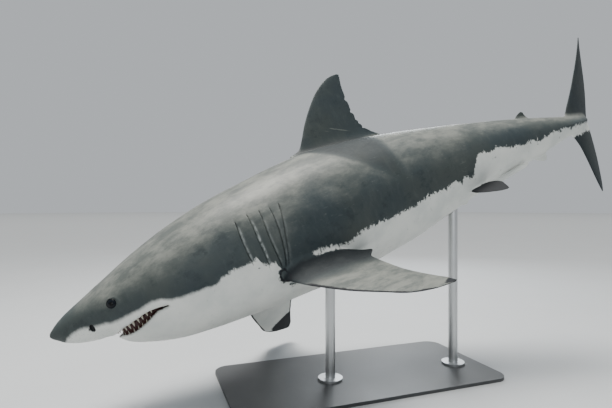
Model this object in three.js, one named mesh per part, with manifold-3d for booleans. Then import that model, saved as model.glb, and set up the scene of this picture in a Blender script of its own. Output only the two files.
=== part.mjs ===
// Great white shark, life size, swimming nose down with its tail swept away, on a plain display stand.
// Millimetres, +Z up. The body is laid out straight along X from the snout, then bent along its spine.
import * as THREE from 'three';
import { mergeVertices } from 'three/addons/utils/BufferGeometryUtils.js';
import Module from 'manifold-3d';

const wasm = await Module();
wasm.setup();

// Body plan. Stations and fin outlines are fractions of this length.
const bodyLength = 4350;
const partGap = 1;
const bodySides = 26;

// Pose: the way the spine points, tailward, at each station, and how far the body rolls.
const snoutTip = new THREE.Vector3(-1691, -163, 474);
const headingDegrees = [[0, 6], [0.25, 8], [0.5, -4.5], [0.68, -11], [0.82, 8], [1, 48.5]];
const climbDegrees = [[0, 19.6], [0.35, 20.8], [0.7, 17.5], [1, 14.1]];
const rollAtSnout = 11.3;
const rollPerLength = -2.4;

// Body sections: station, top, bottom, half width, level of the widest point, and the powers that
// round the upper and lower halves (2 is an ellipse, less is keeled, more is boxy).
const bodySections = [
  [0, -0.0025, -0.0025, 0, -0.0025, 2, 2],
  [0.004, 0.0047, -0.0098, 0.0063, -0.0028, 2, 2],
  [0.009, 0.0089, -0.0149, 0.0104, -0.003, 2, 2],
  [0.015, 0.0125, -0.0186, 0.0141, -0.003, 2, 2],
  [0.04, 0.0234, -0.0268, 0.029, -0.002, 2, 2.1],
  [0.053, 0.0291, -0.0289, 0.0352, -0.001, 2, 2.1],
  [0.058, 0.0312, -0.0306, 0.0375, -0.0005, 2, 2],
  [0.0605, 0.0322, -0.0345, 0.0386, 0, 2, 1.8],
  [0.066, 0.0345, -0.041, 0.0412, 0, 2, 1.75],
  [0.076, 0.0386, -0.0477, 0.0456, 0, 2, 1.75],
  [0.09, 0.0445, -0.0542, 0.0515, 0, 2, 1.8],
  [0.111, 0.0525, -0.0625, 0.0585, 0, 2, 1.85],
  [0.129, 0.0585, -0.0677, 0.0635, 0, 2, 1.9],
  [0.15, 0.065, -0.071, 0.068, 0, 2.05, 2],
  [0.2, 0.0762, -0.078, 0.0769, 0, 2.1, 2.1],
  [0.27, 0.0855, -0.0856, 0.0839, 0, 2.1, 2.1],
  [0.36, 0.0922, -0.0914, 0.0869, 0, 2.05, 2.1],
  [0.46, 0.0842, -0.0864, 0.0799, 0, 2, 2.05],
  [0.56, 0.068, -0.0687, 0.0629, 0, 2, 2],
  [0.61, 0.0585, -0.0568, 0.0515, 0, 2, 2],
  [0.66, 0.049, -0.0445, 0.04, 0, 2, 2],
  [0.73, 0.0345, -0.0338, 0.0269, 0, 2, 2],
  [0.79, 0.022, -0.02, 0.0188, 0, 1.5, 1.5],
  [0.82, 0.0165, -0.0161, 0.0194, 0, 1.25, 1.25],
  [0.85, 0.014, -0.014, 0.0165, 0, 1.2, 1.2],
  [0.868, 0.0115, -0.0115, 0.0095, 0, 1.4, 1.4],
  [0.882, 0.0045, -0.0055, 0.0016, 0, 2, 2],
];
// The snout's tip is drawn out by this reach, which fades over a length behind it.
const nose = { reach: 12, fade: 0.004 };
const snoutStations = 9;
const trunkStations = 13;
const tailStations = 10;
const snoutEnd = -0.01;
const tailEnd = 0.95;
const cutHeadGills = 0.165;
const cutGillsTrunk = 0.29;
const cutTrunk = 0.475;
const cutTrunkTail = 0.665;
const cutCaudalLobes = { level: -0.002, from: 0.79, to: 0.97, reach: 0.25 };

// Mouth: the slot between the jaws in side view, upper and lower edges, from the front to the corner.
const mouthUpperEdge = [
  [0.05, -0.033], [0.0575, -0.0295], [0.0635, -0.027], [0.0688, -0.0248], [0.0737, -0.0241],
  [0.0855, -0.021], [0.0969, -0.0186], [0.1063, -0.0186], [0.112, -0.0197], [0.118, -0.0207],
];
const mouthLowerEdge = [
  [0.05, -0.0365], [0.058, -0.0335], [0.0633, -0.032], [0.0711, -0.0335], [0.0768, -0.033],
  [0.0826, -0.0315], [0.0885, -0.0292], [0.0941, -0.0266], [0.1005, -0.0232], [0.107, -0.0207],
  [0.118, -0.0207],
];
const mouthDepth = 60;
const mouthFrontDepth = 34;
const mouthFront = 0.0577;
const throat = [0.152, -0.095];
const upperTeeth = { count: 24, reach: 0.101, width: 19, share: 0.5, thickness: 7, inset: 9, rooted: 7 };
const lowerTeeth = { count: 20, reach: 0.097, width: 12, share: 0.42, thickness: 7, inset: 15, rooted: 7 };

// The teeth at the very front are smaller by this much, and grow to full size over a share of the row.
const frontTeeth = { size: 0.45, reach: 0.35 };

// Eyes and nostrils.
const eye = { station: 0.0677, level: 0.0049, radius: 31, proud: 5.2 };
const nostril = { station: 0.0401, level: -0.0113, length: 50, width: 22, depth: 12, slantDegrees: 118 };

// Gill slits of each side, front to back: station and level of the top, then of the bottom, and how
// far the middle bows tailward.
const gillSlits = [
  [0.216, 0.036, 0.2146, -0.0165, -0.0022],
  [0.2324, 0.0385, 0.2316, -0.0275, -0.0013],
  [0.2478, 0.038, 0.2456, -0.0315, -0.003],
  [0.2605, 0.0365, 0.2508, -0.0345, 0.0012],
  [0.2735, 0.0365, 0.2545, -0.0375, -0.001],
];
const gillSlit = { width: 9, depth: 16 };

// Fins. Each row runs from the root to the tip: leading edge along and out, trailing edge along and
// out, half thickness. Median fins are measured from the spine, paired fins from their own root.
const firstDorsal = [
  [0.34, 0.076, 0.452, 0.058, 0.0056],
  [0.3475, 0.0922, 0.463, 0.077, 0.0054],
  [0.3655, 0.0986, 0.4964, 0.0812, 0.0048],
  [0.3752, 0.111, 0.4838, 0.0925, 0.0044],
  [0.389, 0.1315, 0.4742, 0.1045, 0.0039],
  [0.4088, 0.1558, 0.4686, 0.128, 0.0033],
  [0.4269, 0.1742, 0.4674, 0.156, 0.0026],
  [0.444, 0.1862, 0.4685, 0.1745, 0.002],
  [0.458, 0.1918, 0.4712, 0.1865, 0.0013],
  [0.468, 0.1925, 0.4715, 0.1905, 0.0007],
];
const secondDorsal = [
  [0.711, 0.028, 0.736, 0.024, 0.0018],
  [0.716, 0.0365, 0.7455, 0.0315, 0.0015],
  [0.7224, 0.0405, 0.7408, 0.0355, 0.0011],
  [0.7285, 0.0442, 0.7382, 0.0402, 0.0008],
  [0.7335, 0.0462, 0.7372, 0.0444, 0.0004],
];
const analFin = [
  [0.717, -0.026, 0.742, -0.02, 0.0018],
  [0.7235, -0.0345, 0.7515, -0.029, 0.0015],
  [0.729, -0.0373, 0.7505, -0.0335, 0.0011],
  [0.735, -0.0397, 0.7492, -0.0374, 0.0008],
  [0.7415, -0.0418, 0.7475, -0.0408, 0.0004],
];
const caudalFin = [
  [0.8645, -0.1278, 0.868, -0.1272, 0.0007],
  [0.8592, -0.118, 0.8752, -0.1165, 0.0016],
  [0.8536, -0.103, 0.8815, -0.1, 0.0023],
  [0.8475, -0.082, 0.8878, -0.078, 0.0029],
  [0.842, -0.061, 0.8905, -0.0565, 0.0035],
  [0.8362, -0.0415, 0.891, -0.036, 0.0041],
  [0.828, -0.025, 0.8895, -0.0165, 0.0047],
  [0.8195, -0.01, 0.8865, -0.0035, 0.0052],
  [0.8185, 0.011, 0.8905, 0.0045, 0.0052],
  [0.8295, 0.028, 0.902, 0.021, 0.0048],
  [0.8465, 0.0445, 0.9165, 0.041, 0.0042],
  [0.8665, 0.0635, 0.9295, 0.063, 0.0036],
  [0.889, 0.085, 0.9395, 0.087, 0.003],
  [0.912, 0.1055, 0.9475, 0.11, 0.0024],
  [0.936, 0.1265, 0.9545, 0.1288, 0.0016],
  [0.9575, 0.1445, 0.963, 0.1445, 0.0007],
];
const pectoralFin = [
  [0.014, -0.052, 0.072, -0.052, 0.0115],
  [0.003, -0.014, 0.082, -0.014, 0.011],
  [0.0003, 0.004, 0.09, 0.002, 0.0092],
  [0.0032, 0.019, 0.1285, 0.0155, 0.0064],
  [0.0072, 0.0335, 0.1125, 0.0365, 0.0044],
  [0.016, 0.055, 0.112, 0.058, 0.0039],
  [0.0322, 0.09, 0.1118, 0.088, 0.0032],
  [0.0535, 0.1225, 0.1158, 0.117, 0.0025],
  [0.07, 0.1458, 0.1212, 0.1395, 0.0019],
  [0.0985, 0.1618, 0.125, 0.1552, 0.0013],
  [0.1202, 0.1664, 0.1252, 0.165, 0.0007],
];
const pelvicFin = [
  [0.007, -0.026, 0.034, -0.026, 0.0028],
  [0.001, -0.005, 0.0362, -0.004, 0.0025],
  [0.0026, 0.0069, 0.049, 0.0072, 0.0019],
  [0.0094, 0.0158, 0.0505, 0.0145, 0.0015],
  [0.0194, 0.0248, 0.0478, 0.0216, 0.0011],
  [0.0304, 0.0325, 0.0448, 0.029, 0.0007],
  [0.0375, 0.0355, 0.0422, 0.0343, 0.0004],
];
// Paired fins: where the root's front lies, how far each side is swept, drooped and twisted, how far
// its tip bends up, and how thick a shoulder of flesh lies on its root.
const pairedFins = [
  {
    name: 'pectoral_fin_left', rows: pectoralFin, side: -1,
    root: [0.2443, 0.067, -0.0466], sweep: 0.7, droop: 18.8, twist: 6, curl: 20, shoulder: 70,
  },
  {
    name: 'pectoral_fin_right', rows: pectoralFin, side: 1,
    root: [0.2344, 0.067, -0.0402], sweep: -14.5, droop: 44.5, twist: -6.7, curl: 8, shoulder: 70,
  },
  {
    name: 'pelvic_fin_left', rows: pelvicFin, side: -1,
    root: [0.5743, 0.0432, -0.0505], sweep: 8.9, droop: 31.9, twist: -1.5, curl: 0, shoulder: 0,
  },
  {
    name: 'pelvic_fin_right', rows: pelvicFin, side: 1,
    root: [0.5804, 0.0432, -0.0459], sweep: 6, droop: 52, twist: -8.2, curl: 0, shoulder: 0,
  },
];
// Claspers: the paired rods trailing from the inner edge of the pelvic fins of a grown male.
const clasper = { from: [0.612, 0.0145, -0.0535], to: [0.698, 0.0205, -0.0382], radius: 22 };

// Stand: a rounded steel plate and two rods, with the body's weight between them.
const plate = { length: 1700, width: 800, thickness: 20, corner: 90 };
const roundSides = 20;
const rod = { radius: 30, stations: [0.33, 0.56], collarRadius: 75, collarHeight: 14, reach: 150 };

// A cubic through the rows of a table that never overshoots them. The first column is the position.
function monotoneCurve(rows) {
  const xs = rows.map((row) => row[0]);
  const last = xs.length - 1;
  const curves = rows[0].slice(1).map((_, column) => {
    const ys = rows.map((row) => row[column + 1]);
    const rises = ys.slice(1).map((y, i) => (y - ys[i]) / (xs[i + 1] - xs[i]));
    const slopes = ys.map((_, i) => {
      if (i === 0 || i === last) {
        return rises[i === 0 ? 0 : last - 1];
      }
      const before = rises[i - 1];
      const after = rises[i];
      if (before * after <= 0) {
        return 0;
      }
      const weightBefore = 2 * (xs[i + 1] - xs[i]) + (xs[i] - xs[i - 1]);
      const weightAfter = (xs[i + 1] - xs[i]) + 2 * (xs[i] - xs[i - 1]);
      return (weightBefore + weightAfter) / (weightBefore / before + weightAfter / after);
    });
    return { ys, slopes };
  });
  return (x) => {
    let i = 0;
    while (i < last - 1 && x > xs[i + 1]) {
      i += 1;
    }
    const step = xs[i + 1] - xs[i];
    const t = THREE.MathUtils.clamp((x - xs[i]) / step, 0, 1);
    const blend = t * t * (3 - 2 * t);
    const rise = t * (1 - t) * (1 - t) * step;
    const fall = t * t * (t - 1) * step;
    return curves.map(({ ys, slopes }) => (
      ys[i] * (1 - blend) + ys[i + 1] * blend + rise * slopes[i] + fall * slopes[i + 1]
    ));
  };
}

// The spine: centre, right-hand and upward directions at any station, by summing short steps.
const spineSteps = 400;
function traceSpine() {
  const heading = monotoneCurve(headingDegrees);
  const climb = monotoneCurve(climbDegrees);
  const frames = [];
  const centre = snoutTip.clone();
  let previous = null;
  for (let i = 0; i <= spineSteps; i += 1) {
    const station = i / spineSteps;
    const yaw = THREE.MathUtils.degToRad(heading(station)[0]);
    const pitch = THREE.MathUtils.degToRad(climb(station)[0]);
    const roll = THREE.MathUtils.degToRad(rollAtSnout + rollPerLength * station);
    const along = new THREE.Vector3(
      Math.cos(pitch) * Math.cos(yaw), Math.cos(pitch) * Math.sin(yaw), Math.sin(pitch),
    );
    const levelRight = new THREE.Vector3(-Math.sin(yaw), Math.cos(yaw), 0);
    const levelUp = new THREE.Vector3().crossVectors(along, levelRight);
    if (previous) {
      centre.addScaledVector(previous.clone().add(along), bodyLength / spineSteps / 2);
    }
    previous = along;
    frames.push({
      centre: centre.clone(),
      right: levelRight.clone().multiplyScalar(Math.cos(roll)).addScaledVector(levelUp, -Math.sin(roll)),
      up: levelRight.clone().multiplyScalar(Math.sin(roll)).addScaledVector(levelUp, Math.cos(roll)),
      along,
    });
  }
  return frames;
}
const spineFrames = traceSpine();

function spineAt(station) {
  const place = THREE.MathUtils.clamp(station, 0, 1) * spineSteps;
  const i = Math.min(Math.floor(place), spineSteps - 1);
  const t = place - i;
  const mix = (key) => spineFrames[i][key].clone().lerp(spineFrames[i + 1][key], t);
  return { centre: mix('centre'), right: mix('right'), up: mix('up'), along: mix('along') };
}

// Bends a point of the straight body (x tailward, y right, z up) to the pose.
function posed(point) {
  const { centre, right, up, along } = spineAt(point.x / bodyLength);
  const ahead = Math.min(point.x, 0);
  return centre.addScaledVector(along, ahead).addScaledVector(right, point.y).addScaledVector(up, point.z);
}

function flatNumbers(points) {
  return points.flatMap((point) => point.toArray());
}

// Rings of points joined into a closed body, each end closed round its middle.
function loft(rings) {
  const around = rings[0].length;
  const middle = (ring) => ring.reduce((sum, p) => sum.add(p), new THREE.Vector3()).divideScalar(around);
  const points = rings.flat();
  const first = points.push(middle(rings[0])) - 1;
  const final = points.push(middle(rings[rings.length - 1])) - 1;
  const lastRing = (rings.length - 1) * around;
  const faces = [];
  for (let j = 0; j < around; j += 1) {
    const next = (j + 1) % around;
    for (let i = 0; i < rings.length - 1; i += 1) {
      const low = i * around;
      const high = low + around;
      faces.push(low + j, low + next, high + next, low + j, high + next, high + j);
    }
    faces.push(first, next, j, final, lastRing + j, lastRing + next);
  }
  const geometry = new THREE.BufferGeometry();
  geometry.setAttribute('position', new THREE.Float32BufferAttribute(flatNumbers(points), 3));
  geometry.setIndex(faces);
  return geometry;
}

// A geometry of the straight body, bent to the pose, as a closed solid with its faces outward.
function solidOf(geometry, place = posed) {
  geometry.deleteAttribute('normal');
  geometry.deleteAttribute('uv');
  const merged = mergeVertices(geometry, 1e-3);
  const position = merged.getAttribute('position');
  const points = [];
  for (let i = 0; i < position.count; i += 1) {
    points.push(place(new THREE.Vector3().fromBufferAttribute(position, i)));
  }
  const corners = Array.from(merged.index.array);
  let volume = 0;
  for (let i = 0; i < corners.length; i += 3) {
    const [a, b, c] = corners.slice(i, i + 3).map((corner) => points[corner]);
    volume += a.clone().cross(b).dot(c);
  }
  const faces = volume > 0 ? corners : corners.reverse();
  return new wasm.Manifold(new wasm.Mesh({
    numProp: 3,
    vertProperties: new Float32Array(flatNumbers(points)),
    triVerts: new Uint32Array(faces),
  }));
}

function joined(solids) {
  return solids.reduce((whole, solid) => whole.add(solid));
}

// The body's section at a station. The curve runs on the square root of the station, so that the
// snout closes round instead of in a point.
const sectionCurve = monotoneCurve(bodySections.map(([s, ...sizes]) => [Math.sqrt(s), ...sizes]));
function sectionAt(station) {
  const [top, bottom, width, level, topPower, bottomPower] = sectionCurve(Math.sqrt(station));
  return { top, bottom, width, level, topPower, bottomPower };
}

function bodyPoint(station, angle, grow) {
  const { top, bottom, width, level, topPower, bottomPower } = sectionAt(Math.max(station, 0));
  const isTop = Math.sin(angle) >= 0;
  const power = 2 / (isTop ? topPower : bottomPower);
  const reach = (isTop ? top - level : level - bottom) * bodyLength + grow;
  const out = Math.sign(Math.cos(angle)) * Math.abs(Math.cos(angle)) ** power;
  const rise = Math.sign(Math.sin(angle)) * Math.abs(Math.sin(angle)) ** power;
  const drawnOut = nose.reach * Math.exp(-station / nose.fade);
  return new THREE.Vector3(
    station * bodyLength - drawnOut, out * (width * bodyLength + grow), level * bodyLength + rise * reach,
  );
}

// Half width of the body at a station and level below the widest point.
function halfWidthAt(station, level) {
  const section = sectionAt(station);
  const isTop = level > section.level;
  const reach = isTop ? section.top - section.level : section.level - section.bottom;
  const power = isTop ? section.topPower : section.bottomPower;
  const ratio = Math.min(Math.abs(level - section.level) / reach, 1);
  return section.width * (1 - ratio ** power) ** (1 / power);
}

// Stations along the body: close at the snout and jaws, wider along the trunk, close at the tail.
function bodyStations() {
  const jawStart = 0.05;
  const trunkStart = 0.165;
  const tailStart = 0.66;
  const keelStart = 0.81;
  const spread = (from, to, count) => (
    Array.from({ length: count }, (_, i) => THREE.MathUtils.lerp(from, to, i / count))
  );
  const firstStep = 0.35;
  const snout = spread(firstStep, snoutStations + firstStep, snoutStations)
    .map((step) => jawStart * (step / snoutStations) ** 2);
  const jaws = [0.053, 0.0575, 0.0605, 0.064, 0.07, 0.077, 0.085, 0.094, 0.104, 0.115, 0.13, 0.147];
  const trunk = spread(trunkStart, tailStart, trunkStations);
  const tail = spread(tailStart, keelStart, tailStations);
  const keels = [keelStart, 0.82, 0.835, 0.85, 0.862, 0.873, 0.882];
  return [...snout, ...jaws, ...trunk, ...tail, ...keels];
}

function bodyLoft(grow) {
  const rings = bodyStations().map((station) => Array.from({ length: bodySides }, (_, j) => (
    bodyPoint(station, ((j + 0.5) / bodySides) * Math.PI * 2, grow)
  )));
  const tailEnd = rings[rings.length - 1];
  tailEnd.forEach((point) => {
    point.x += grow;
  });
  return loft(rings);
}

// A fin's half section: 0 at the leading edge, 1 at its thickest, thin at the trailing edge.
const finEdge = 1.3;
const chordSteps = [0.06, 0.22, 0.48, 0.76, 1];
function finBulge(c) {
  return 1.76 * Math.sqrt(c) - 0.75 * c - 2.09 * c ** 2 + 1.69 * c ** 3 - 0.6 * c ** 4;
}

// The shoulder over a paired fin's root: full along its middle, fading out from the body.
const shoulderRoot = 20;
const shoulderFade = 45;
function shoulderAt(c, out) {
  const hump = THREE.MathUtils.smoothstep(c, -0.05, 0.2) * (1 - THREE.MathUtils.smoothstep(c, 0.6, 1));
  return hump * Math.exp(-Math.max(out - shoulderRoot, 0) / shoulderFade);
}

// A fin lofted through its rows. place turns (along, out, across) into a point of the straight body.
function finLoft(rows, place, shoulder = 0) {
  const rings = rows.map(([leadAlong, leadOut, trailAlong, trailOut, halfThickness]) => {
    const at = (c, side) => {
      const out = THREE.MathUtils.lerp(leadOut, trailOut, c) * bodyLength;
      const flesh = side > 0 ? shoulder * shoulderAt(c, out) : 0;
      const thickness = Math.max(halfThickness * bodyLength * finBulge(c), finEdge) + flesh;
      return place(
        THREE.MathUtils.lerp(leadAlong, trailAlong, c) * bodyLength, out, side * (c === 0 ? 0 : thickness),
      );
    };
    const upper = chordSteps.map((c) => at(c, 1));
    const lower = chordSteps.map((c) => at(c, -1)).reverse();
    return [at(0, 0), ...upper, ...lower];
  });
  return loft(rings);
}

const medianPlace = (along, out, across) => new THREE.Vector3(along, across, out);

// Directions of a paired fin: back along its root, out to its tip, and across its thickness.
function pairedPlace({ rows, side, root, sweep, droop, twist, curl }) {
  const [sweepAngle, droopAngle, twistAngle] = [sweep, droop, twist].map(THREE.MathUtils.degToRad);
  const drooped = new THREE.Vector3(0, Math.cos(droopAngle), -Math.sin(droopAngle));
  const twisted = new THREE.Vector3(1, 0, 0).applyAxisAngle(drooped, twistAngle);
  const across = twisted.clone().cross(drooped);
  const back = twisted.clone().applyAxisAngle(across, -sweepAngle);
  const out = drooped.clone().applyAxisAngle(across, -sweepAngle);
  const origin = new THREE.Vector3(...root).multiplyScalar(bodyLength);
  const span = rows[rows.length - 1][1] * bodyLength;
  return (alongFin, outFin, acrossFin) => {
    const point = origin.clone().addScaledVector(back, alongFin).addScaledVector(out, outFin);
    const bend = curl * THREE.MathUtils.clamp(outFin / span, 0, 1) ** 3;
    point.addScaledVector(across, acrossFin + bend);
    point.y *= side;
    return point;
  };
}

// Everything between two stations, as a block with a square face across the body at each end.
function lengthBlock(from, to) {
  const steps = 6;
  const halfSize = 700;
  const inset = partGap / 2 / bodyLength;
  const corners = [[-1, -1], [1, -1], [1, 1], [-1, 1]].map((pair) => pair.map((sign) => sign * halfSize));
  const rings = Array.from({ length: steps + 1 }, (_, i) => {
    const station = THREE.MathUtils.lerp(from + inset, to - inset, i / steps);
    return corners.map(([y, z]) => new THREE.Vector3(station * bodyLength, y, z));
  });
  return solidOf(loft(rings));
}

// A flat outline of stations and one other fraction, as a prism. place(station, other, side) gives
// the corner on either face.
function prism(anyOutline, place) {
  const flatten = (rows) => rows.map(([s, other]) => new THREE.Vector2(s, other));
  const isClockwise = THREE.ShapeUtils.isClockWise(flatten(anyOutline));
  const outline = isClockwise ? [...anyOutline].reverse() : anyOutline;
  const flat = THREE.ShapeUtils.triangulateShape(flatten(outline), []);
  const count = outline.length;
  const points = [-1, 1].flatMap((side) => outline.map(([s, other]) => place(s, other, side)));
  const faces = [];
  flat.forEach(([a, b, c]) => faces.push(a, c, b, count + a, count + b, count + c));
  outline.forEach((_, i) => {
    const next = (i + 1) % count;
    faces.push(i, next, count + next, i, count + next, count + i);
  });
  const geometry = new THREE.BufferGeometry();
  geometry.setAttribute('position', new THREE.Float32BufferAttribute(flatNumbers(points), 3));
  geometry.setIndex(faces);
  return solidOf(geometry);
}

// A side-view outline right across the head or tail, moved forward and down by a shift.
const prismHalfWidth = 320;
function sidePrism(outline, shift = 0) {
  return prism(outline, (s, z, side) => (
    new THREE.Vector3(s * bodyLength - shift, side * prismHalfWidth, z * bodyLength - shift)
  ));
}

// A plan-view outline through a band of levels.
function planPrism(outline, lowest, highest) {
  return prism(outline, (s, y, side) => (
    new THREE.Vector3(s * bodyLength, y * bodyLength, (side < 0 ? lowest : highest) * bodyLength)
  ));
}

const upperLip = monotoneCurve(mouthUpperEdge);
const lowerLip = monotoneCurve(mouthLowerEdge);

// The gape: a slot right across the head, filled again in the middle by the floor of the mouth.
function mouthSlot() {
  const slot = sidePrism([...mouthUpperEdge, ...mouthLowerEdge.slice(0, -1).reverse()]);
  const inset = mouthDepth / bodyLength;
  const front = mouthFront + mouthFrontDepth / bodyLength;
  const stations = [0.128, 0.11, 0.092, 0.077, front + 0.001];
  const side = stations.map((s) => [s, halfWidthAt(s, upperLip(s)[0]) - inset]);
  const tip = [front, 0];
  const core = planPrism([...side, tip, ...side.map(([s, y]) => [s, -y]).reverse()], -0.06, 0);
  return slot.subtract(core);
}

// The lower jaw: below the middle of the slot, back to the throat.
function jawRegion(shift) {
  const front = mouthUpperEdge[0][0];
  const seam = mouthUpperEdge.map(([s]) => [s, (upperLip(s)[0] + lowerLip(s)[0]) / 2]);
  return sidePrism([...seam, throat, [front, throat[1]]], shift);
}

// A row of teeth round the U of one jaw, joined where they grow from. Each fills a share of the gape.
function toothRow({ count, reach, width, share, thickness, inset, rooted }, lip, direction) {
  const steps = 8;
  const level = (s) => lip(s)[0];
  const half = Array.from({ length: steps + 1 }, (_, i) => {
    const s = THREE.MathUtils.lerp(mouthFront, reach, (i / steps) ** 1.7);
    return new THREE.Vector3(s, i === 0 ? 0 : halfWidthAt(s, level(s)), 0);
  });
  const mirrored = half.slice(1).map((p) => new THREE.Vector3(p.x, -p.y, 0)).reverse();
  const arch = new THREE.CatmullRomCurve3([...mirrored, ...half]);
  const teeth = Array.from({ length: count }, (_, i) => {
    const place = (i + 0.5) / count;
    const tangent = arch.getTangentAt(place);
    const inward = new THREE.Vector3(tangent.y, -tangent.x, 0);
    const spot = arch.getPointAt(place).multiplyScalar(bodyLength).addScaledVector(inward, inset);
    const station = spot.x / bodyLength;
    const gape = (upperLip(station)[0] - lowerLip(station)[0]) * bodyLength;
    const fromFront = Math.min(Math.abs(2 * place - 1) / frontTeeth.reach, 1);
    const size = THREE.MathUtils.lerp(frontTeeth.size, 1, fromFront);
    const height = gape * share * size + rooted;
    const cone = new THREE.ConeGeometry(0.5, 1, 4);
    cone.translate(0, 0.5, 0);
    const rise = new THREE.Vector3(0, 0, direction);
    spot.z = level(station) * bodyLength - direction * rooted;
    const turn = new THREE.Matrix4().makeBasis(
      tangent.multiplyScalar(width * (1 + size) / 2),
      rise.multiplyScalar(height),
      inward.multiplyScalar(thickness),
    );
    cone.applyMatrix4(turn.setPosition(spot));
    return solidOf(cone);
  });
  return joined(teeth);
}

// An eyeball or its socket. side is -1 on the left.
function eyeSolid(side, grow) {
  const ball = new THREE.SphereGeometry(eye.radius + grow, 14, 9);
  const out = halfWidthAt(eye.station, eye.level) * bodyLength - eye.radius + eye.proud;
  ball.translate(eye.station * bodyLength, side * out, eye.level * bodyLength);
  return solidOf(ball);
}

function nostrilCut(side) {
  const slit = new THREE.BoxGeometry(nostril.length, nostril.depth * 2, nostril.width);
  slit.rotateY(THREE.MathUtils.degToRad(nostril.slantDegrees));
  const out = halfWidthAt(nostril.station, nostril.level) * bodyLength;
  slit.translate(nostril.station * bodyLength, side * out, nostril.level * bodyLength);
  return solidOf(slit);
}

// One gill slit: a bowed blade, widest and deepest at its middle, standing in the side of the body.
function gillCut([topStation, topLevel, bottomStation, bottomLevel, bow], side) {
  const steps = 6;
  const proud = 30;
  const rings = Array.from({ length: steps + 1 }, (_, i) => {
    const t = i / steps;
    const swell = Math.sin(Math.PI * t);
    const station = THREE.MathUtils.lerp(topStation, bottomStation, t) + bow * swell;
    const level = THREE.MathUtils.lerp(topLevel, bottomLevel, t);
    const surface = halfWidthAt(station, level) * bodyLength;
    const halfSlit = (gillSlit.width / 2) * (0.3 + 0.7 * swell);
    const inner = surface - gillSlit.depth * (0.25 + 0.75 * swell);
    const outer = surface + proud;
    const corners = [[-halfSlit, inner], [halfSlit, inner], [halfSlit, outer], [-halfSlit, outer]];
    const [midX, midZ] = [station * bodyLength, level * bodyLength];
    return corners.map(([x, y]) => new THREE.Vector3(midX + x, side * y, midZ));
  });
  return solidOf(loft(rings));
}

// A rod with round sections that narrows to its far end, for a clasper.
function claspSolid(side, grow) {
  const from = new THREE.Vector3(clasper.from[0], side * clasper.from[1], clasper.from[2]);
  const to = new THREE.Vector3(clasper.to[0], side * clasper.to[1], clasper.to[2]);
  const taper = [[0, 1], [0.35, 0.95], [0.7, 0.8], [0.9, 0.72], [0.97, 0.5], [1, 0.2]];
  const around = 10;
  const rings = taper.map(([t, size]) => Array.from({ length: around }, (_, j) => {
    const angle = (j / around) * Math.PI * 2;
    const radius = clasper.radius * size + grow;
    const centre = from.clone().lerp(to, t).multiplyScalar(bodyLength);
    return centre.add(new THREE.Vector3(0, radius * Math.cos(angle), radius * Math.sin(angle)));
  }));
  return solidOf(loft(rings));
}

const upright = (point) => point;

function plateSolid() {
  const { length, width, thickness, corner } = plate;
  const shape = new THREE.Shape();
  const [x, y] = [length / 2, width / 2];
  shape.moveTo(-x + corner, -y);
  shape.lineTo(x - corner, -y);
  shape.absarc(x - corner, -y + corner, corner, -Math.PI / 2, 0);
  shape.lineTo(x, y - corner);
  shape.absarc(x - corner, y - corner, corner, 0, Math.PI / 2);
  shape.lineTo(-x + corner, y);
  shape.absarc(-x + corner, y - corner, corner, Math.PI / 2, Math.PI);
  shape.lineTo(-x, -y + corner);
  shape.absarc(-x + corner, -y + corner, corner, Math.PI, Math.PI * 1.5);
  const settings = { depth: thickness, bevelEnabled: false, curveSegments: 5 };
  return solidOf(new THREE.ExtrudeGeometry(shape, settings), upright);
}

// A rod from the plate up into the belly, with a collar at its foot.
function rodSolid(station) {
  const { bottom } = sectionAt(station);
  const belly = posed(new THREE.Vector3(station * bodyLength, 0, bottom * bodyLength));
  const foot = plate.thickness + 0.3;
  const height = belly.z + rod.reach - foot;
  const { radius, collarRadius, collarHeight } = rod;
  const shaft = new THREE.CylinderGeometry(radius, radius, height, roundSides);
  shaft.rotateX(Math.PI / 2);
  shaft.translate(belly.x, belly.y, foot + height / 2);
  const collar = new THREE.CylinderGeometry(collarRadius, collarRadius, collarHeight, roundSides);
  collar.rotateX(Math.PI / 2);
  collar.translate(belly.x, belly.y, foot + collarHeight / 2);
  return solidOf(shaft, upright).add(solidOf(collar, upright));
}

const back = { color: 0x5d666c, roughness: 0.5, metalness: 0 };
const pale = { color: 0xc9ccc6, roughness: 0.5, metalness: 0 };
const eyeBlack = { color: 0x08090b, roughness: 0.08, metalness: 0 };
const plateSteel = { color: 0x3b3d40, roughness: 0.55, metalness: 0.2 };
const rodSteel = { color: 0x9b9ea1, roughness: 0.3, metalness: 1 };

const shark = new THREE.Group();

function addPart(name, solid, look) {
  const { vertProperties, triVerts, numProp } = solid.getMesh();
  const geometry = new THREE.BufferGeometry();
  const position = new Float32Array((vertProperties.length / numProp) * 3);
  position.forEach((_, i) => {
    position[i] = vertProperties[Math.floor(i / 3) * numProp + (i % 3)];
  });
  geometry.setAttribute('position', new THREE.BufferAttribute(position, 3));
  geometry.setIndex(Array.from(triVerts));
  geometry.computeVertexNormals();
  const mesh = new THREE.Mesh(geometry, new THREE.MeshStandardMaterial({ ...look }));
  mesh.name = name;
  shark.add(mesh);
}

const sides = [{ word: 'left', sign: -1 }, { word: 'right', sign: 1 }];
const body = solidOf(bodyLoft(0));
const bodyClearance = solidOf(bodyLoft(partGap));

// Head and lower jaw, with the gape between them and the eyes set in their sockets.
const gape = mouthSlot();
const sockets = joined(sides.map(({ sign }) => eyeSolid(sign, partGap)));
const nostrils = joined(sides.map(({ sign }) => nostrilCut(sign)));
const headBlock = body.intersect(lengthBlock(snoutEnd, cutHeadGills)).subtract(gape);
const head = headBlock.subtract(jawRegion(0)).subtract(sockets).subtract(nostrils);
addPart('head', head.add(toothRow(upperTeeth, upperLip, -1)), back);
addPart('lower_jaw', headBlock.intersect(jawRegion(partGap)).add(toothRow(lowerTeeth, lowerLip, 1)), pale);
sides.forEach(({ word, sign }) => addPart(`eye_${word}`, eyeSolid(sign, 0), eyeBlack));

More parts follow.
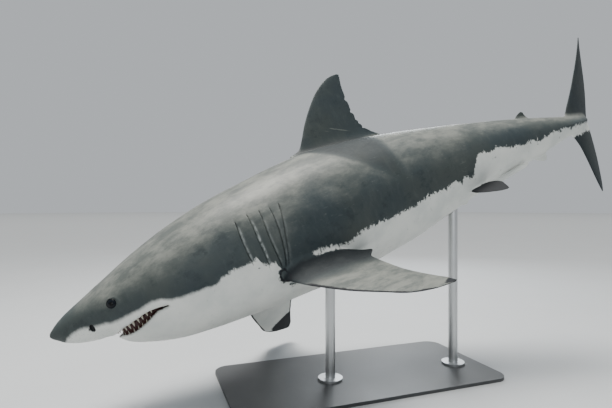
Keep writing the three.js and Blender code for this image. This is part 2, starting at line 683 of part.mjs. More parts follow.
// Gill region, trunk and tail stem.
const slits = sides.flatMap(({ sign }) => gillSlits.map((slit) => gillCut(slit, sign)));
const gillBlock = body.intersect(lengthBlock(cutHeadGills, cutGillsTrunk));
addPart('gill_region', gillBlock.subtract(joined(slits)), back);
addPart('trunk_front', body.intersect(lengthBlock(cutGillsTrunk, cutTrunk)), back);
addPart('trunk_rear', body.intersect(lengthBlock(cutTrunk, cutTrunkTail)), back);
addPart('tail_stem', body.intersect(lengthBlock(cutTrunkTail, tailEnd)), back);

// Fins on the midline.
const midline = { first_dorsal_fin: firstDorsal, second_dorsal_fin: secondDorsal, anal_fin: analFin };
Object.entries(midline).forEach(([name, rows]) => {
  addPart(name, solidOf(finLoft(rows, medianPlace)).subtract(bodyClearance), back);
});

// The tail fin's two lobes, parted at the fork.
const caudal = solidOf(finLoft(caudalFin, medianPlace)).subtract(bodyClearance);
function lobeRegion(sign) {
  const { level, from, to, reach } = cutCaudalLobes;
  const steps = 6;
  const stations = Array.from({ length: steps + 1 }, (_, i) => THREE.MathUtils.lerp(from, to, i / steps));
  const near = stations.map((s) => [s, level + (sign * partGap) / 2 / bodyLength]);
  const far = stations.map((s) => [s, sign * reach]).reverse();
  return sidePrism([...near, ...far]);
}
addPart('caudal_fin_upper', caudal.intersect(lobeRegion(1)), back);
addPart('caudal_fin_lower', caudal.intersect(lobeRegion(-1)), back);

// Paired fins and claspers.
const clasperClearance = joined(sides.map(({ sign }) => claspSolid(sign, partGap)));
pairedFins.forEach((fin) => {
  const solid = solidOf(finLoft(fin.rows, pairedPlace(fin), fin.shoulder)).subtract(bodyClearance);
  addPart(fin.name, solid.subtract(clasperClearance), back);
});
sides.forEach(({ word, sign }) => {
  addPart(`clasper_${word}`, claspSolid(sign, 0).subtract(bodyClearance), pale);
});

// Stand.
addPart('stand_base', plateSolid(), plateSteel);
['front', 'rear'].forEach((word, i) => {
  addPart(`stand_rod_${word}`, rodSolid(rod.stations[i]).subtract(bodyClearance), rodSteel);
});

export default shark;
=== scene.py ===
from math import cos, hypot, pi, radians, sin

import bmesh
import bpy
import numpy as np
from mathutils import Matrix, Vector


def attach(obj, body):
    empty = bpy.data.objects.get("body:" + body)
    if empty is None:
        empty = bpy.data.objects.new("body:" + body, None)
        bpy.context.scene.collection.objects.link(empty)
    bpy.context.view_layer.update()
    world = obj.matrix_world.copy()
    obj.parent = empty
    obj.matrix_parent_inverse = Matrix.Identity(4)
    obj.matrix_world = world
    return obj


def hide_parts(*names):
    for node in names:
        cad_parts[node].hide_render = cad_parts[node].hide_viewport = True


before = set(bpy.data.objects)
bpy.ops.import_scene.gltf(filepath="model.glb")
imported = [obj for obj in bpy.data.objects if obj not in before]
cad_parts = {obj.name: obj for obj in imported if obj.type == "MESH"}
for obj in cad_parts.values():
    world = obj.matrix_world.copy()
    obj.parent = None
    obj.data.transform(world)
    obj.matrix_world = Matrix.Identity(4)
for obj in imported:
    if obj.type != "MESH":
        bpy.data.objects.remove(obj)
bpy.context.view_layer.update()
print("frame loaded")


plan = {
    "length": 4.35,  # of the straight body; stations and levels are shares of it
    "tip": (-1.691, -0.163, 0.474),  # where the snout's tip is
    # the way the spine runs by station, in degrees: to the side, then up
    "heading": [[0, 6], [0.25, 8], [0.5, -4.5], [0.68, -11], [0.82, 8], [1, 48.5]],
    "climb": [[0, 19.6], [0.35, 20.8], [0.7, 17.5], [1, 14.1]],
    "rollAtSnout": 11.3,
    "rollPerLength": -2.4,
    "steps": 1600,
}
length = plan["length"]


# 0 below low and 1 above high, t^2 (3 - 2 t) between.
def smoothStep(low, high, value):
    t = np.clip((value - low) / (high - low), 0, 1)
    return t * t * (3 - 2 * t)


# a + (b - a) t
def mix(a, b, t):
    return a + (b - a) * t


# exp(-(distance / width)^2)
def gauss(distance, width):
    return np.exp(-((distance / width) ** 2))


# Cubic through the rows of a table that never overshoots: each slope is the weighted harmonic
# mean of the rises beside it, and 0 at a turn.
def tableCurve(rows):
    table = np.array(rows, float)
    xs, ys = table[:, 0], table[:, 1:]
    steps = np.diff(xs)[:, None]
    rises = np.diff(ys, axis=0) / steps
    before, after = rises[:-1], rises[1:]
    weightBefore = 2 * steps[1:] + steps[:-1]
    weightAfter = steps[1:] + 2 * steps[:-1]
    turning = before * after <= 0
    safeBefore = np.where(turning, 1, before)
    safeAfter = np.where(turning, 1, after)
    middle = (weightBefore + weightAfter) / (weightBefore / safeBefore + weightAfter / safeAfter)
    slopes = np.vstack([rises[:1], np.where(turning, 0, middle), rises[-1:]])

    def at(x):
        x = np.asarray(x, float)
        i = np.clip(np.searchsorted(xs, x) - 1, 0, len(xs) - 2)
        step = (xs[i + 1] - xs[i])[..., None]
        t = np.clip((x[..., None] - xs[i][..., None]) / step, 0, 1)
        blend = t * t * (3 - 2 * t)
        rise = t * (1 - t) ** 2 * step * slopes[i]
        fall = t * t * (t - 1) * step * slopes[i + 1]
        return ys[i] * (1 - blend) + ys[i + 1] * blend + rise + fall

    return at


# A curve averaged over a bell-shaped width, so that its bends change evenly. Ends are turned over.
def softened(curve, low, high, width, samples=4000):
    grid = np.linspace(low, high, samples)
    values = curve(grid)
    reach = int(3 * width / (grid[1] - grid[0])) + 1
    bell = np.exp(-0.5 * (np.arange(-reach, reach + 1) * (grid[1] - grid[0]) / width) ** 2)
    bell /= bell.sum()
    head = 2 * values[0] - values[reach:0:-1]
    tail = 2 * values[-1] - values[-2:-reach - 2:-1]
    padded = np.vstack([head, values, tail])
    columns = [np.convolve(padded[:, k], bell, "valid") for k in range(values.shape[1])]
    return lambda x: np.stack([np.interp(x, grid, column) for column in columns], -1)


# The spine: short steps along the heading and climb, summed, with the right-hand and upward
# directions turned by the roll.
def traceSpine():
    stations = np.linspace(0, 1, plan["steps"] + 1)
    yaw = np.radians(tableCurve(plan["heading"])(stations)[:, 0])
    pitch = np.radians(tableCurve(plan["climb"])(stations)[:, 0])
    roll = np.radians(plan["rollAtSnout"] + plan["rollPerLength"] * stations)[:, None]
    along = np.stack([np.cos(pitch) * np.cos(yaw), np.cos(pitch) * np.sin(yaw), np.sin(pitch)], 1)
    levelRight = np.stack([-np.sin(yaw), np.cos(yaw), np.zeros_like(yaw)], 1)
    levelUp = np.cross(along, levelRight)
    legs = (along[1:] + along[:-1]) / 2 * length / plan["steps"]
    centre = np.vstack([np.zeros(3), np.cumsum(legs, axis=0)]) + plan["tip"]
    right = levelRight * np.cos(roll) - levelUp * np.sin(roll)
    up = levelRight * np.sin(roll) + levelUp * np.cos(roll)
    return centre, right, up, along


spine = traceSpine()


# Bends points of the straight body (x tailward, y right, z up) to the pose.
def posed(points):
    place = np.clip(points[..., 0] / length, 0, 1) * plan["steps"]
    i = np.minimum(place.astype(int), plan["steps"] - 1)
    t = (place - i)[..., None]
    centre, right, up, along = [mix(line[i], line[i + 1], t) for line in spine]
    ahead = np.minimum(points[..., :1], 0)
    return centre + along * ahead + right * points[..., 1:2] + up * points[..., 2:3]


# Faces of a grid of closed rings, with each end closed round its middle.
def ringFaces(rings, around):
    i = np.arange(rings - 1)[:, None] * around
    j = np.arange(around)[None, :]
    k = (j + 1) % around
    quads = np.stack([i + j, i + k, i + around + k, i + around + j], -1).reshape(-1, 4)
    first, last = rings * around, rings * around + 1
    low = np.stack([np.full(around, first), k[0], j[0]], 1)
    top = (rings - 1) * around
    high = np.stack([np.full(around, last), top + j[0], top + k[0]], 1)
    return quads, np.vstack([low, high])


# Corners and faces of one closed loft through rings of points (rings, around, 3), faces outward.
def loft(rings, tips=None):
    count, around = rings.shape[:2]
    ends = np.array([rings[0].mean(0), rings[-1].mean(0)]) if tips is None else np.array(tips)
    corners = np.vstack([rings.reshape(-1, 3), ends])
    quads, caps = ringFaces(count, around)
    a, b, c = [corners[caps[:, n]] for n in range(3)]
    volume = np.einsum("ij,ij->", np.cross(a, b), c)
    for tri in ([0, 1, 2], [0, 2, 3]):
        a, b, c = [corners[quads[:, n]] for n in tri]
        volume += np.einsum("ij,ij->", np.cross(a, b), c)
    if volume < 0:
        quads, caps = quads[:, ::-1], caps[:, ::-1]
    return corners, quads, caps


# One smooth object of several closed lofts, all its faces in one group.
def makeObject(name, parts, group=0):
    corners, faces, start = [], [], 0
    for points, quads, caps in parts:
        corners.append(points)
        faces += (quads + start).tolist() + (caps + start).tolist()
        start += len(points)
    mesh = bpy.data.meshes.new(name)
    mesh.from_pydata(np.vstack(corners).tolist(), [], faces)
    mesh.polygons.foreach_set("material_index", np.full(len(faces), group, np.int32))
    mesh.polygons.foreach_set("use_smooth", np.ones(len(faces), bool))
    mesh.update()
    piece = bpy.data.objects.new(name, mesh)
    bpy.context.scene.collection.objects.link(piece)
    return piece


def pointsOf(mesh):
    flat = np.empty(len(mesh.vertices) * 3)
    mesh.vertices.foreach_get("co", flat)
    return flat.reshape(-1, 3)


def setPoints(mesh, points):
    mesh.vertices.foreach_set("co", points.ravel())
    mesh.update()


def addAttribute(mesh, name, values):
    kind = "FLOAT_VECTOR" if values.ndim == 2 else "FLOAT"
    layer = mesh.attributes.new(name, kind, "POINT")
    layer.data.foreach_set("vector" if values.ndim == 2 else "value", values.ravel())


body = {
    # station, top, bottom, half width, level of the widest point, upper and lower roundness
    "sections": [
        [0, -0.0025, -0.0025, 0, -0.0025, 2, 2],
        [0.004, 0.0047, -0.0098, 0.0063, -0.0028, 2, 2],
        [0.009, 0.0089, -0.0149, 0.0104, -0.003, 2, 2],
        [0.015, 0.0125, -0.0186, 0.0141, -0.003, 2, 2],
        [0.04, 0.0234, -0.0268, 0.029, -0.002, 2, 2.1],
        [0.053, 0.0291, -0.0289, 0.0352, -0.001, 2, 2.1],
        [0.058, 0.0312, -0.0306, 0.0375, -0.0005, 2, 2],
        [0.0605, 0.0322, -0.0345, 0.0386, 0, 2, 1.8],
        [0.066, 0.0345, -0.041, 0.0412, 0, 2, 1.75],
        [0.076, 0.0386, -0.0477, 0.0456, 0, 2, 1.75],
        [0.09, 0.0445, -0.0542, 0.0515, 0, 2, 1.8],
        [0.111, 0.0525, -0.0625, 0.0585, 0, 2, 1.85],
        [0.129, 0.0585, -0.0677, 0.0635, 0, 2, 1.9],
        [0.15, 0.065, -0.071, 0.068, 0, 2.05, 2],
        [0.2, 0.0762, -0.078, 0.0769, 0, 2.1, 2.1],
        [0.27, 0.0855, -0.0856, 0.0839, 0, 2.1, 2.1],
        [0.36, 0.0922, -0.0914, 0.0869, 0, 2.05, 2.1],
        [0.46, 0.0842, -0.0864, 0.0799, 0, 2, 2.05],
        [0.56, 0.068, -0.0687, 0.0629, 0, 2, 2],
        [0.61, 0.0585, -0.0568, 0.0515, 0, 2, 2],
        [0.66, 0.049, -0.0445, 0.04, 0, 2, 2],
        [0.73, 0.0345, -0.0338, 0.0269, 0, 2, 2],
        [0.79, 0.022, -0.02, 0.0188, 0, 1.5, 1.5],
        [0.82, 0.0165, -0.0161, 0.0194, 0, 1.25, 1.25],
        [0.85, 0.014, -0.014, 0.0165, 0, 1.2, 1.2],
        [0.868, 0.0115, -0.0115, 0.0095, 0, 1.4, 1.4],
        [0.882, 0.0045, -0.0055, 0.0016, 0, 2, 2],
    ],
    "end": 0.882,
    "noseReach": 0.012,  # how far the snout's tip is drawn out, and how fast that fades behind it
    "noseFade": 0.004,
    "around": 152,
    "flankShare": 0.35,  # how much closer the corners stand on the flanks than above and below
    "snoutRings": 16,
    "snoutEnd": 0.012,
    # station and the distance between rings from there on, in metres
    "spacing": [
        [0.012, 0.0055], [0.03, 0.0042], [0.05, 0.0038], [0.125, 0.0045], [0.15, 0.009],
        [0.2, 0.0085], [0.208, 0.0034], [0.275, 0.0034], [0.29, 0.012], [0.4, 0.018],
        [0.7, 0.018], [0.79, 0.009], [0.882, 0.006],
    ],
    "headSoftness": 0.002,
    "trunkSoftness": 0.011,
    "trunkFrom": (0.12, 0.19),  # stations over which the trunk's softness takes over, and ends
    "trunkTo": (0.882, 0.84),
}


# The body's section at a station: the table read over the station's square root, so that the snout
# is round, and evened out less on the head than on the trunk.
def makeSections():
    raw = tableCurve([[row[0] ** 0.5, *row[1:]] for row in body["sections"]])
    end = body["end"] ** 0.5
    fine = softened(raw, 0, end, body["headSoftness"])
    broad = softened(raw, 0, end, body["trunkSoftness"])

    def at(station):
        station = np.clip(station, 0, body["end"])
        root = np.sqrt(station)
        trunk = smoothStep(*body["trunkFrom"], station) * smoothStep(*body["trunkTo"], station)
        row = mix(fine(root), broad(root), trunk[..., None])
        return [row[..., k] for k in range(6)]

    return at


sectionAt = makeSections()


# Half width of the body at a station and level: the superellipse solved for its width.
def halfWidthAt(station, level):
    top, bottom, width, middle, topPower, bottomPower = sectionAt(station)
    isTop = level > middle
    reach = np.where(isTop, top - middle, middle - bottom)
    power = np.where(isTop, topPower, bottomPower)
    ratio = np.clip(np.abs(level - middle) / reach, 0, 1)
    return width * (1 - ratio**power) ** (1 / power)


# How far a point of the straight body stands outside the skin, measured from the section's middle.
def outsideBody(points):
    station = points[..., 0] / length
    top, bottom, width, middle, topPower, bottomPower = sectionAt(station)
    y, z = np.abs(points[..., 1]) / length, points[..., 2] / length - middle
    power = np.where(z > 0, topPower, bottomPower)
    reach = np.where(z > 0, top - middle, middle - bottom)
    share = ((y / np.maximum(width, 1e-5)) ** power + (np.abs(z) / reach) ** power) ** (1 / power)
    share = np.maximum(share, 1e-6)
    distance = np.hypot(y, z) * (1 - 1 / share) * length
    beyond = np.maximum(station - body["end"], 0) * length
    return np.hypot(np.maximum(distance, 0), beyond) + np.minimum(distance, 0)


mouth = {
    "upper": [
        [0.05, -0.033], [0.0575, -0.0295], [0.0635, -0.027], [0.0688, -0.0248], [0.0737, -0.0241],
        [0.0855, -0.021], [0.0969, -0.0186], [0.1063, -0.0186], [0.112, -0.0197], [0.118, -0.0207],
    ],
    "lower": [
        [0.05, -0.0365], [0.058, -0.0335], [0.0633, -0.032], [0.0711, -0.0335], [0.0768, -0.033],
        [0.0826, -0.0315], [0.0885, -0.0292], [0.0941, -0.0266], [0.1005, -0.0232],
        [0.107, -0.0207], [0.118, -0.0207],
    ],
    "depth": 0.06,  # how far in the floor of the mouth starts, at the sides and in front
    "frontDepth": 0.034,
    "front": 0.0577,
    "floorTo": 0.128,
    "floorLevels": (-0.06, 0.0),
    "across": 0.3,
    "corner": (0.118, -0.0207),
}
upperLip = tableCurve(mouth["upper"])
lowerLip = tableCurve(mouth["lower"])
eye = {
    "station": 0.0677, "level": 0.0049, "radius": 0.031, "proud": 0.0052,
    "play": 0.0012,  # room round the ball in its socket
    "look": (-0.3, 0.95, 0.05),
    "cornea": 0.0012,
    "corneaReach": 0.45,
    "rings": (44, 64),
}
nostril = {
    "station": 0.0401, "level": -0.0113, "length": 0.05, "width": 0.023, "depth": 0.012,
    "slant": 118,
    "bend": 0.0045,  # how far it is bent to an S
    "sunk": 0.001,
}
gills = {
    # station and level of the top, then of the bottom, and how far the middle bows tailward
    "slits": [
        [0.216, 0.036, 0.2146, -0.0165, -0.0022],
        [0.2324, 0.0385, 0.2316, -0.0275, -0.0013],
        [0.2478, 0.038, 0.2456, -0.0315, -0.003],
        [0.2605, 0.0365, 0.2508, -0.0345, 0.0012],
        [0.2735, 0.0365, 0.2545, -0.0375, -0.001],
    ],
    "width": 0.008,
    "depth": 0.026,
    "lean": 0.016,  # how far the slit runs forward under its flap
    "flapHeight": 0.009,
    "flapReach": 0.02,
    "flapFrom": (-0.1, 0.25),  # shares of the slit over which the flap rises, and sinks
    "flapTo": (1.12, 0.8),
    "dip": 0.0055,
    "dipReach": 0.016,
    "endShare": 0.15,  # width and depth left at both ends
    "over": 0.03,  # how far the cutter stands out of the skin
    "rings": 40,
}


# Where a slit runs: a straight line from top to bottom, bowed by a half sine.
def slitStation(slit, t):
    return mix(slit[0], slit[2], t) + slit[4] * np.sin(pi * t)


# Folds of the head and trunk, as bells: where each lies, how wide it is and how high it stands.
folds = {
    "jawFrom": (0.057, 0.066),  # stations over which the lips' rolls start, and end
    "jawTo": (0.122, 0.11),
    "upperRoll": {"off": 0.006, "wide": 0.008, "high": 0.003},
    "upperFurrow": {"off": 0.023, "wide": 0.007, "high": -0.0018},
    "lowerRoll": {"off": 0.006, "wide": 0.008, "high": 0.0025},
    "crease": {"off": 0, "wide": 0.006, "high": -0.004},  # runs back from the mouth's corner
    "creaseFall": 0.5,
    "creaseFrom": (-0.01, 0.004),
    "creaseTo": (0.05, 0.015),
    "eyeRim": {"off": 0.0245, "wide": 0.0065, "high": 0.003},
    "brow": {"ahead": 0.006, "above": 0.034, "long": 0.05, "wide": 0.014, "high": 0.002},
    "noseRim": {"off": 0.0125, "wide": 0.006, "high": 0.0022},
    "knob": {"station": 0.2455, "level": -0.0435, "long": 0.02, "wide": 0.03, "high": 0.013},
    "tailPit": {"station": 0.811, "long": 0.011, "deep": 0.005, "halfWidth": 0.03},
    "vent": {"station": 0.604, "long": 0.028, "wide": 0.0055, "deep": 0.006},
    # slow waves over the trunk
    "swell": {"high": 0.0012, "from": (0.02, 0.1), "to": (0.8, 0.6)},
}


# A bell: high exp(-((distance - off) / wide)^2).
def ridge(distance, fold):
    return fold["high"] * gauss(distance - fold["off"], fold["wide"])


# The flaps of the gills: rising as exp(distance / reach) towards each slit and falling behind it.
def flapHeight(station, level):
    height = np.zeros_like(station)
    for slit in gills["slits"]:
        t = (slit[1] - level) / (slit[1] - slit[3])
        behind = (station - slitStation(slit, np.clip(t, 0, 1))) * length
        window = smoothStep(*gills["flapFrom"], t) * smoothStep(*gills["flapTo"], t)
        flap = gills["flapHeight"] * np.exp(np.minimum(behind, 0) / gills["flapReach"])
        dip = -gills["dip"] * np.exp(-np.maximum(behind, 0) / gills["dipReach"])
        height += window * np.where(behind < 0, flap, dip)
    return height


# Rolled lips, the crease behind them, a rim and a brow round the eye and a rim round the nostril,
# each a bell across its line.
def faceHeight(station, level):
    jaw = smoothStep(*folds["jawFrom"], station) * smoothStep(*folds["jawTo"], station)
    above = (level - upperLip(station)[..., 0]) * length
    below = (lowerLip(station)[..., 0] - level) * length
    height = jaw * ridge(above, folds["upperRoll"])
    height += jaw * ridge(above, folds["upperFurrow"])
    height += jaw * ridge(below, folds["lowerRoll"])
    cornerS, cornerZ = mouth["corner"]
    backX, backZ = (station - cornerS) * length, (level - cornerZ) * length
    window = smoothStep(*folds["creaseFrom"], backX) * smoothStep(*folds["creaseTo"], backX)
    height += ridge(backZ + folds["creaseFall"] * backX, folds["crease"]) * window
    eyeX, eyeZ = (station - eye["station"]) * length, (level - eye["level"]) * length
    height += ridge(np.hypot(eyeX, eyeZ), folds["eyeRim"])
    brow = folds["brow"]
    height += brow["high"] * gauss(eyeX + brow["ahead"], brow["long"]) * gauss(
        eyeZ - brow["above"], brow["wide"])
    noseX = (station - nostril["station"]) * length
    noseZ = (level - nostril["level"]) * length
    return height + ridge(np.hypot(noseX, noseZ * 0.5), folds["noseRim"])


# Height of all folds above the smooth body, in metres, at a station and level on either flank:
# gills and face, a knob where the pectoral fin starts, pits before the tail fin, the vent, and
# swells that are the product of two slow sines.
def foldHeight(station, level, across):
    height = flapHeight(station, level) + faceHeight(station, level)
    knob, pit, vent = folds["knob"], folds["tailPit"], folds["vent"]
    knobX, knobZ = (station - knob["station"]) * length, (level - knob["level"]) * length
    height += knob["high"] * gauss(knobX, knob["long"]) * gauss(knobZ, knob["wide"])
    pits = gauss((station - pit["station"]) * length, pit["long"])
    height -= pit["deep"] * pits * np.clip(1 - np.abs(across) / pit["halfWidth"], 0, 1)
    below = gauss((station - vent["station"]) * length, vent["long"]) * (level < 0)
    height -= vent["deep"] * below * gauss(across, vent["wide"])
    swell = folds["swell"]
    trunk = smoothStep(*swell["from"], station) * smoothStep(*swell["to"], station)
    waves = np.sin(47 * station + 60 * level) * np.sin(31 * station - 85 * level + 1)
    return height + trunk * swell["high"] * waves


# Distance between rings given by a table, summed and cut into equal shares.
def bodyStations():
    fine = np.linspace(body["snoutEnd"], body["end"], 6000)
    table = np.array(body["spacing"])
    crowding = length / np.interp(fine, table[:, 0], table[:, 1])
    total = np.concatenate([[0], np.cumsum((crowding[1:] + crowding[:-1]) / 2 * np.diff(fine))])
    rings = int(total[-1])
    trunk = np.interp(np.linspace(0, total[-1], rings + 1), total, fine)
    count = body["snoutRings"]
    snout = body["snoutEnd"] * ((np.arange(count) + 0.4) / (count + 0.4)) ** 2
    return np.concatenate([snout, trunk])


# The skin of the straight body: at each station two half superellipses, out = width cos^(2/p) and
# up = reach sin^(2/p), then every point moved along its normal by the height of the folds.
def bodyRings():
    stations = bodyStations()
    turn = (np.arange(body["around"]) + 0.5) / body["around"] * 2 * pi
    angle = turn - body["flankShare"] / 2 * np.sin(2 * turn)
    rows = [column[:, None] for column in sectionAt(stations)]
    top, bottom, width, middle, topPower, bottomPower = rows
    isTop = np.sin(angle)[None, :] >= 0
    power = 2 / np.where(isTop, topPower, bottomPower)
    reach = np.where(isTop, top - middle, middle - bottom)
    out = np.sign(np.cos(angle)) * np.abs(np.cos(angle)) ** power * width
    rise = np.sign(np.sin(angle)) * np.abs(np.sin(angle)) ** power * reach + middle
    rings = np.stack([np.broadcast_to(stations[:, None], out.shape), out, rise], -1) * length
    rings[..., 0] -= body["noseReach"] * np.exp(-stations / body["noseFade"])[:, None]
    alongStep = np.gradient(rings, axis=0)
    aroundStep = np.roll(rings, -1, 1) - np.roll(rings, 1, 1)
    normal = np.cross(aroundStep, alongStep)
    normal /= np.maximum(np.linalg.norm(normal, axis=-1, keepdims=True), 1e-9)
    normal *= np.sign((normal[..., 1] * out + normal[..., 2] * (rise - middle)).sum())
    station = np.broadcast_to(stations[:, None], out.shape)
    raised = foldHeight(station, rings[..., 2] / length, rings[..., 1])
    return rings + normal * raised[..., None]


finRows = {
    # leading edge along and out, trailing edge along and out, half thickness, root to tip
    "firstDorsal": [
        [0.34, 0.076, 0.452, 0.058, 0.0056], [0.3475, 0.0922, 0.463, 0.077, 0.0054],
        [0.3655, 0.0986, 0.4964, 0.0812, 0.0048], [0.3752, 0.111, 0.4838, 0.0925, 0.0044],
        [0.389, 0.1315, 0.4742, 0.1045, 0.0039], [0.4088, 0.1558, 0.4686, 0.128, 0.0033],
        [0.4269, 0.1742, 0.4674, 0.156, 0.0026], [0.444, 0.1862, 0.4685, 0.1745, 0.002],
        [0.458, 0.1918, 0.4712, 0.1865, 0.0013], [0.468, 0.1925, 0.4715, 0.1905, 0.0007],
    ],
    "secondDorsal": [
        [0.711, 0.028, 0.736, 0.024, 0.0018], [0.716, 0.0365, 0.7455, 0.0315, 0.0015],
        [0.7224, 0.0405, 0.7408, 0.0355, 0.0011], [0.7285, 0.0442, 0.7382, 0.0402, 0.0008],
        [0.7335, 0.0462, 0.7372, 0.0444, 0.0004],
    ],
    "anal": [
        [0.717, -0.026, 0.742, -0.02, 0.0018], [0.7235, -0.0345, 0.7515, -0.029, 0.0015],
        [0.729, -0.0373, 0.7505, -0.0335, 0.0011], [0.735, -0.0397, 0.7492, -0.0374, 0.0008],
        [0.7415, -0.0418, 0.7475, -0.0408, 0.0004],
    ],
    "caudal": [
        [0.8645, -0.1278, 0.868, -0.1272, 0.0007], [0.8592, -0.118, 0.8752, -0.1165, 0.0016],
        [0.8536, -0.103, 0.8815, -0.1, 0.0023], [0.8475, -0.082, 0.8878, -0.078, 0.0029],
        [0.842, -0.061, 0.8905, -0.0565, 0.0035], [0.8362, -0.0415, 0.891, -0.036, 0.0041],
        [0.828, -0.025, 0.8895, -0.0165, 0.0047], [0.8195, -0.01, 0.8865, -0.0035, 0.0052],
        [0.8185, 0.011, 0.8905, 0.0045, 0.0052], [0.8295, 0.028, 0.902, 0.021, 0.0048],
        [0.8465, 0.0445, 0.9165, 0.041, 0.0042], [0.8665, 0.0635, 0.9295, 0.063, 0.0036],
        [0.889, 0.085, 0.9395, 0.087, 0.003], [0.912, 0.1055, 0.9475, 0.11, 0.0024],
        [0.936, 0.1265, 0.9545, 0.1288, 0.0016], [0.9575, 0.1445, 0.963, 0.1445, 0.0007],
    ],
    "pectoral": [
        [0.014, -0.052, 0.072, -0.052, 0.0115], [0.003, -0.014, 0.082, -0.014, 0.011],
        [0.0003, 0.004, 0.09, 0.002, 0.0092], [0.0032, 0.019, 0.1285, 0.0155, 0.0064],
        [0.0072, 0.0335, 0.1125, 0.0365, 0.0044], [0.016, 0.055, 0.112, 0.058, 0.0039],
        [0.0322, 0.09, 0.1118, 0.088, 0.0032], [0.0535, 0.1225, 0.1158, 0.117, 0.0025],
        [0.07, 0.1458, 0.1212, 0.1395, 0.0019], [0.0985, 0.1618, 0.125, 0.1552, 0.0013],
        [0.1202, 0.1664, 0.1252, 0.165, 0.0007],
    ],
    "pelvic": [
        [0.007, -0.026, 0.034, -0.026, 0.0028], [0.001, -0.005, 0.0362, -0.004, 0.0025],
        [0.0026, 0.0069, 0.049, 0.0072, 0.0019], [0.0094, 0.0158, 0.0505, 0.0145, 0.0015],
        [0.0194, 0.0248, 0.0478, 0.0216, 0.0011], [0.0304, 0.0325, 0.0448, 0.029, 0.0007],
        [0.0375, 0.0355, 0.0422, 0.0343, 0.0004],
    ],
}
# Midline fins: rings, chord steps, flare of the root, its reach, and how frayed the rear edge is.
midlineFins = {
    "firstDorsal": {
        "rings": 120, "chord": 22, "flare": 0.018, "reach": 0.022, "fray": 0.006,
        "nicks": [(0.43, 0.012), (0.55, 0.009), (0.63, 0.013), (0.74, 0.01), (0.5, 0.006)],
    },
    "secondDorsal": {"rings": 26, "chord": 14, "flare": 0.004, "reach": 0.008, "fray": 0.001},
    "anal": {"rings": 26, "chord": 14, "flare": 0.004, "reach": 0.008, "fray": 0.001},
    "caudal": {"rings": 150, "chord": 20, "flare": 0.006, "reach": 0.02, "fray": 0.0025},
}
pairedLooks = {
    # the shoulder fills the upper side of the root
    "pectoral": {
        "rings": 84, "chord": 22, "flare": 0.016, "reach": 0.045, "fray": 0.0015, "shoulder": 0.075,
    },
    "pelvic": {"rings": 36, "chord": 16, "flare": 0.006, "reach": 0.014, "fray": 0.001},
}
# Paired fins: where the root's front lies, the degrees each is swept, drooped and twisted, and how
# far its tip bends up.
pairedFins = [
    {
        "rows": "pectoral", "side": -1, "root": (0.2443, 0.067, -0.0466),
        "sweep": 0.7, "droop": 18.8, "twist": 6, "curl": 0.02,
    },
    {
        "rows": "pectoral", "side": 1, "root": (0.2344, 0.067, -0.0402),
        "sweep": -14.5, "droop": 44.5, "twist": -6.7, "curl": 0.008,
    },
    {
        "rows": "pelvic", "side": -1, "root": (0.5743, 0.0432, -0.0505),
        "sweep": 8.9, "droop": 31.9, "twist": -1.5, "curl": 0.0,
    },
    {
        "rows": "pelvic", "side": 1, "root": (0.5804, 0.0432, -0.0459),
        "sweep": 6, "droop": 52, "twist": -8.2, "curl": 0.0,
    },
]
finShape = {
    "edge": 0.0013,  # least half thickness
    "softness": 0.006,  # share of the span over which the rows' bends are evened
    "frayFrom": 0.12,  # share of the span where fraying starts, and the shares of the chord
    "frayChord": (0.82, 1),
    "nickWidth": 0.014,
    "shoulderFrom": (-0.05, 0.2),  # shares of the chord over which the shoulder rises, and sinks
    "shoulderTo": (1, 0.6),
}
random = np.random.default_rng(7)


# v cos(angle) + (axis x v) sin(angle) + axis (axis . v) (1 - cos(angle))
def turned(vector, axis, degrees):
    angle = radians(degrees)
    axis, vector = np.array(axis), np.array(vector)
    return (
        vector * cos(angle) + np.cross(axis, vector) * sin(angle)
        + axis * np.dot(axis, vector) * (1 - cos(angle))
    )


# Origin and the three directions of a paired fin: back along its root, out to its tip, across it.
def finAxes(fin):
    droop = radians(fin["droop"])
    drooped = np.array([0, cos(droop), -sin(droop)])
    twisted = turned([1, 0, 0], drooped, fin["twist"])
    across = np.cross(twisted, drooped)
    back = turned(twisted, across, -fin["sweep"])
    out = turned(drooped, across, -fin["sweep"])
    return np.array(fin["root"]) * length, np.array([back, out, across])


# How far a paired fin bends up towards its tip: the cube of the distance out.
def finCurl(fin, out):
    span = finRows[fin["rows"]][-1][1] * length
    return fin["curl"] * np.clip(out / span, 0, 1) ** 3


# From a paired fin's own directions to the straight body, mirrored onto its side.
def pairedPlace(fin):
    origin, axes = finAxes(fin)

    def place(local):
        points = origin + local @ axes + finCurl(fin, local[..., 1:2]) * axes[2]
        points[..., 1] *= fin["side"]
        return points

    return place


# A midline fin stands upright: along, out and across become x, z and y.
def midlinePlace(local):
    return local[..., [0, 2, 1]]


# Smooth random numbers: a new value every few steps, averaged with its neighbours.
def ripple(count, every):
    knots = random.uniform(-1, 1, count // every + 3)
    return np.interp(np.arange(count) / every, np.arange(len(knots)), knots)


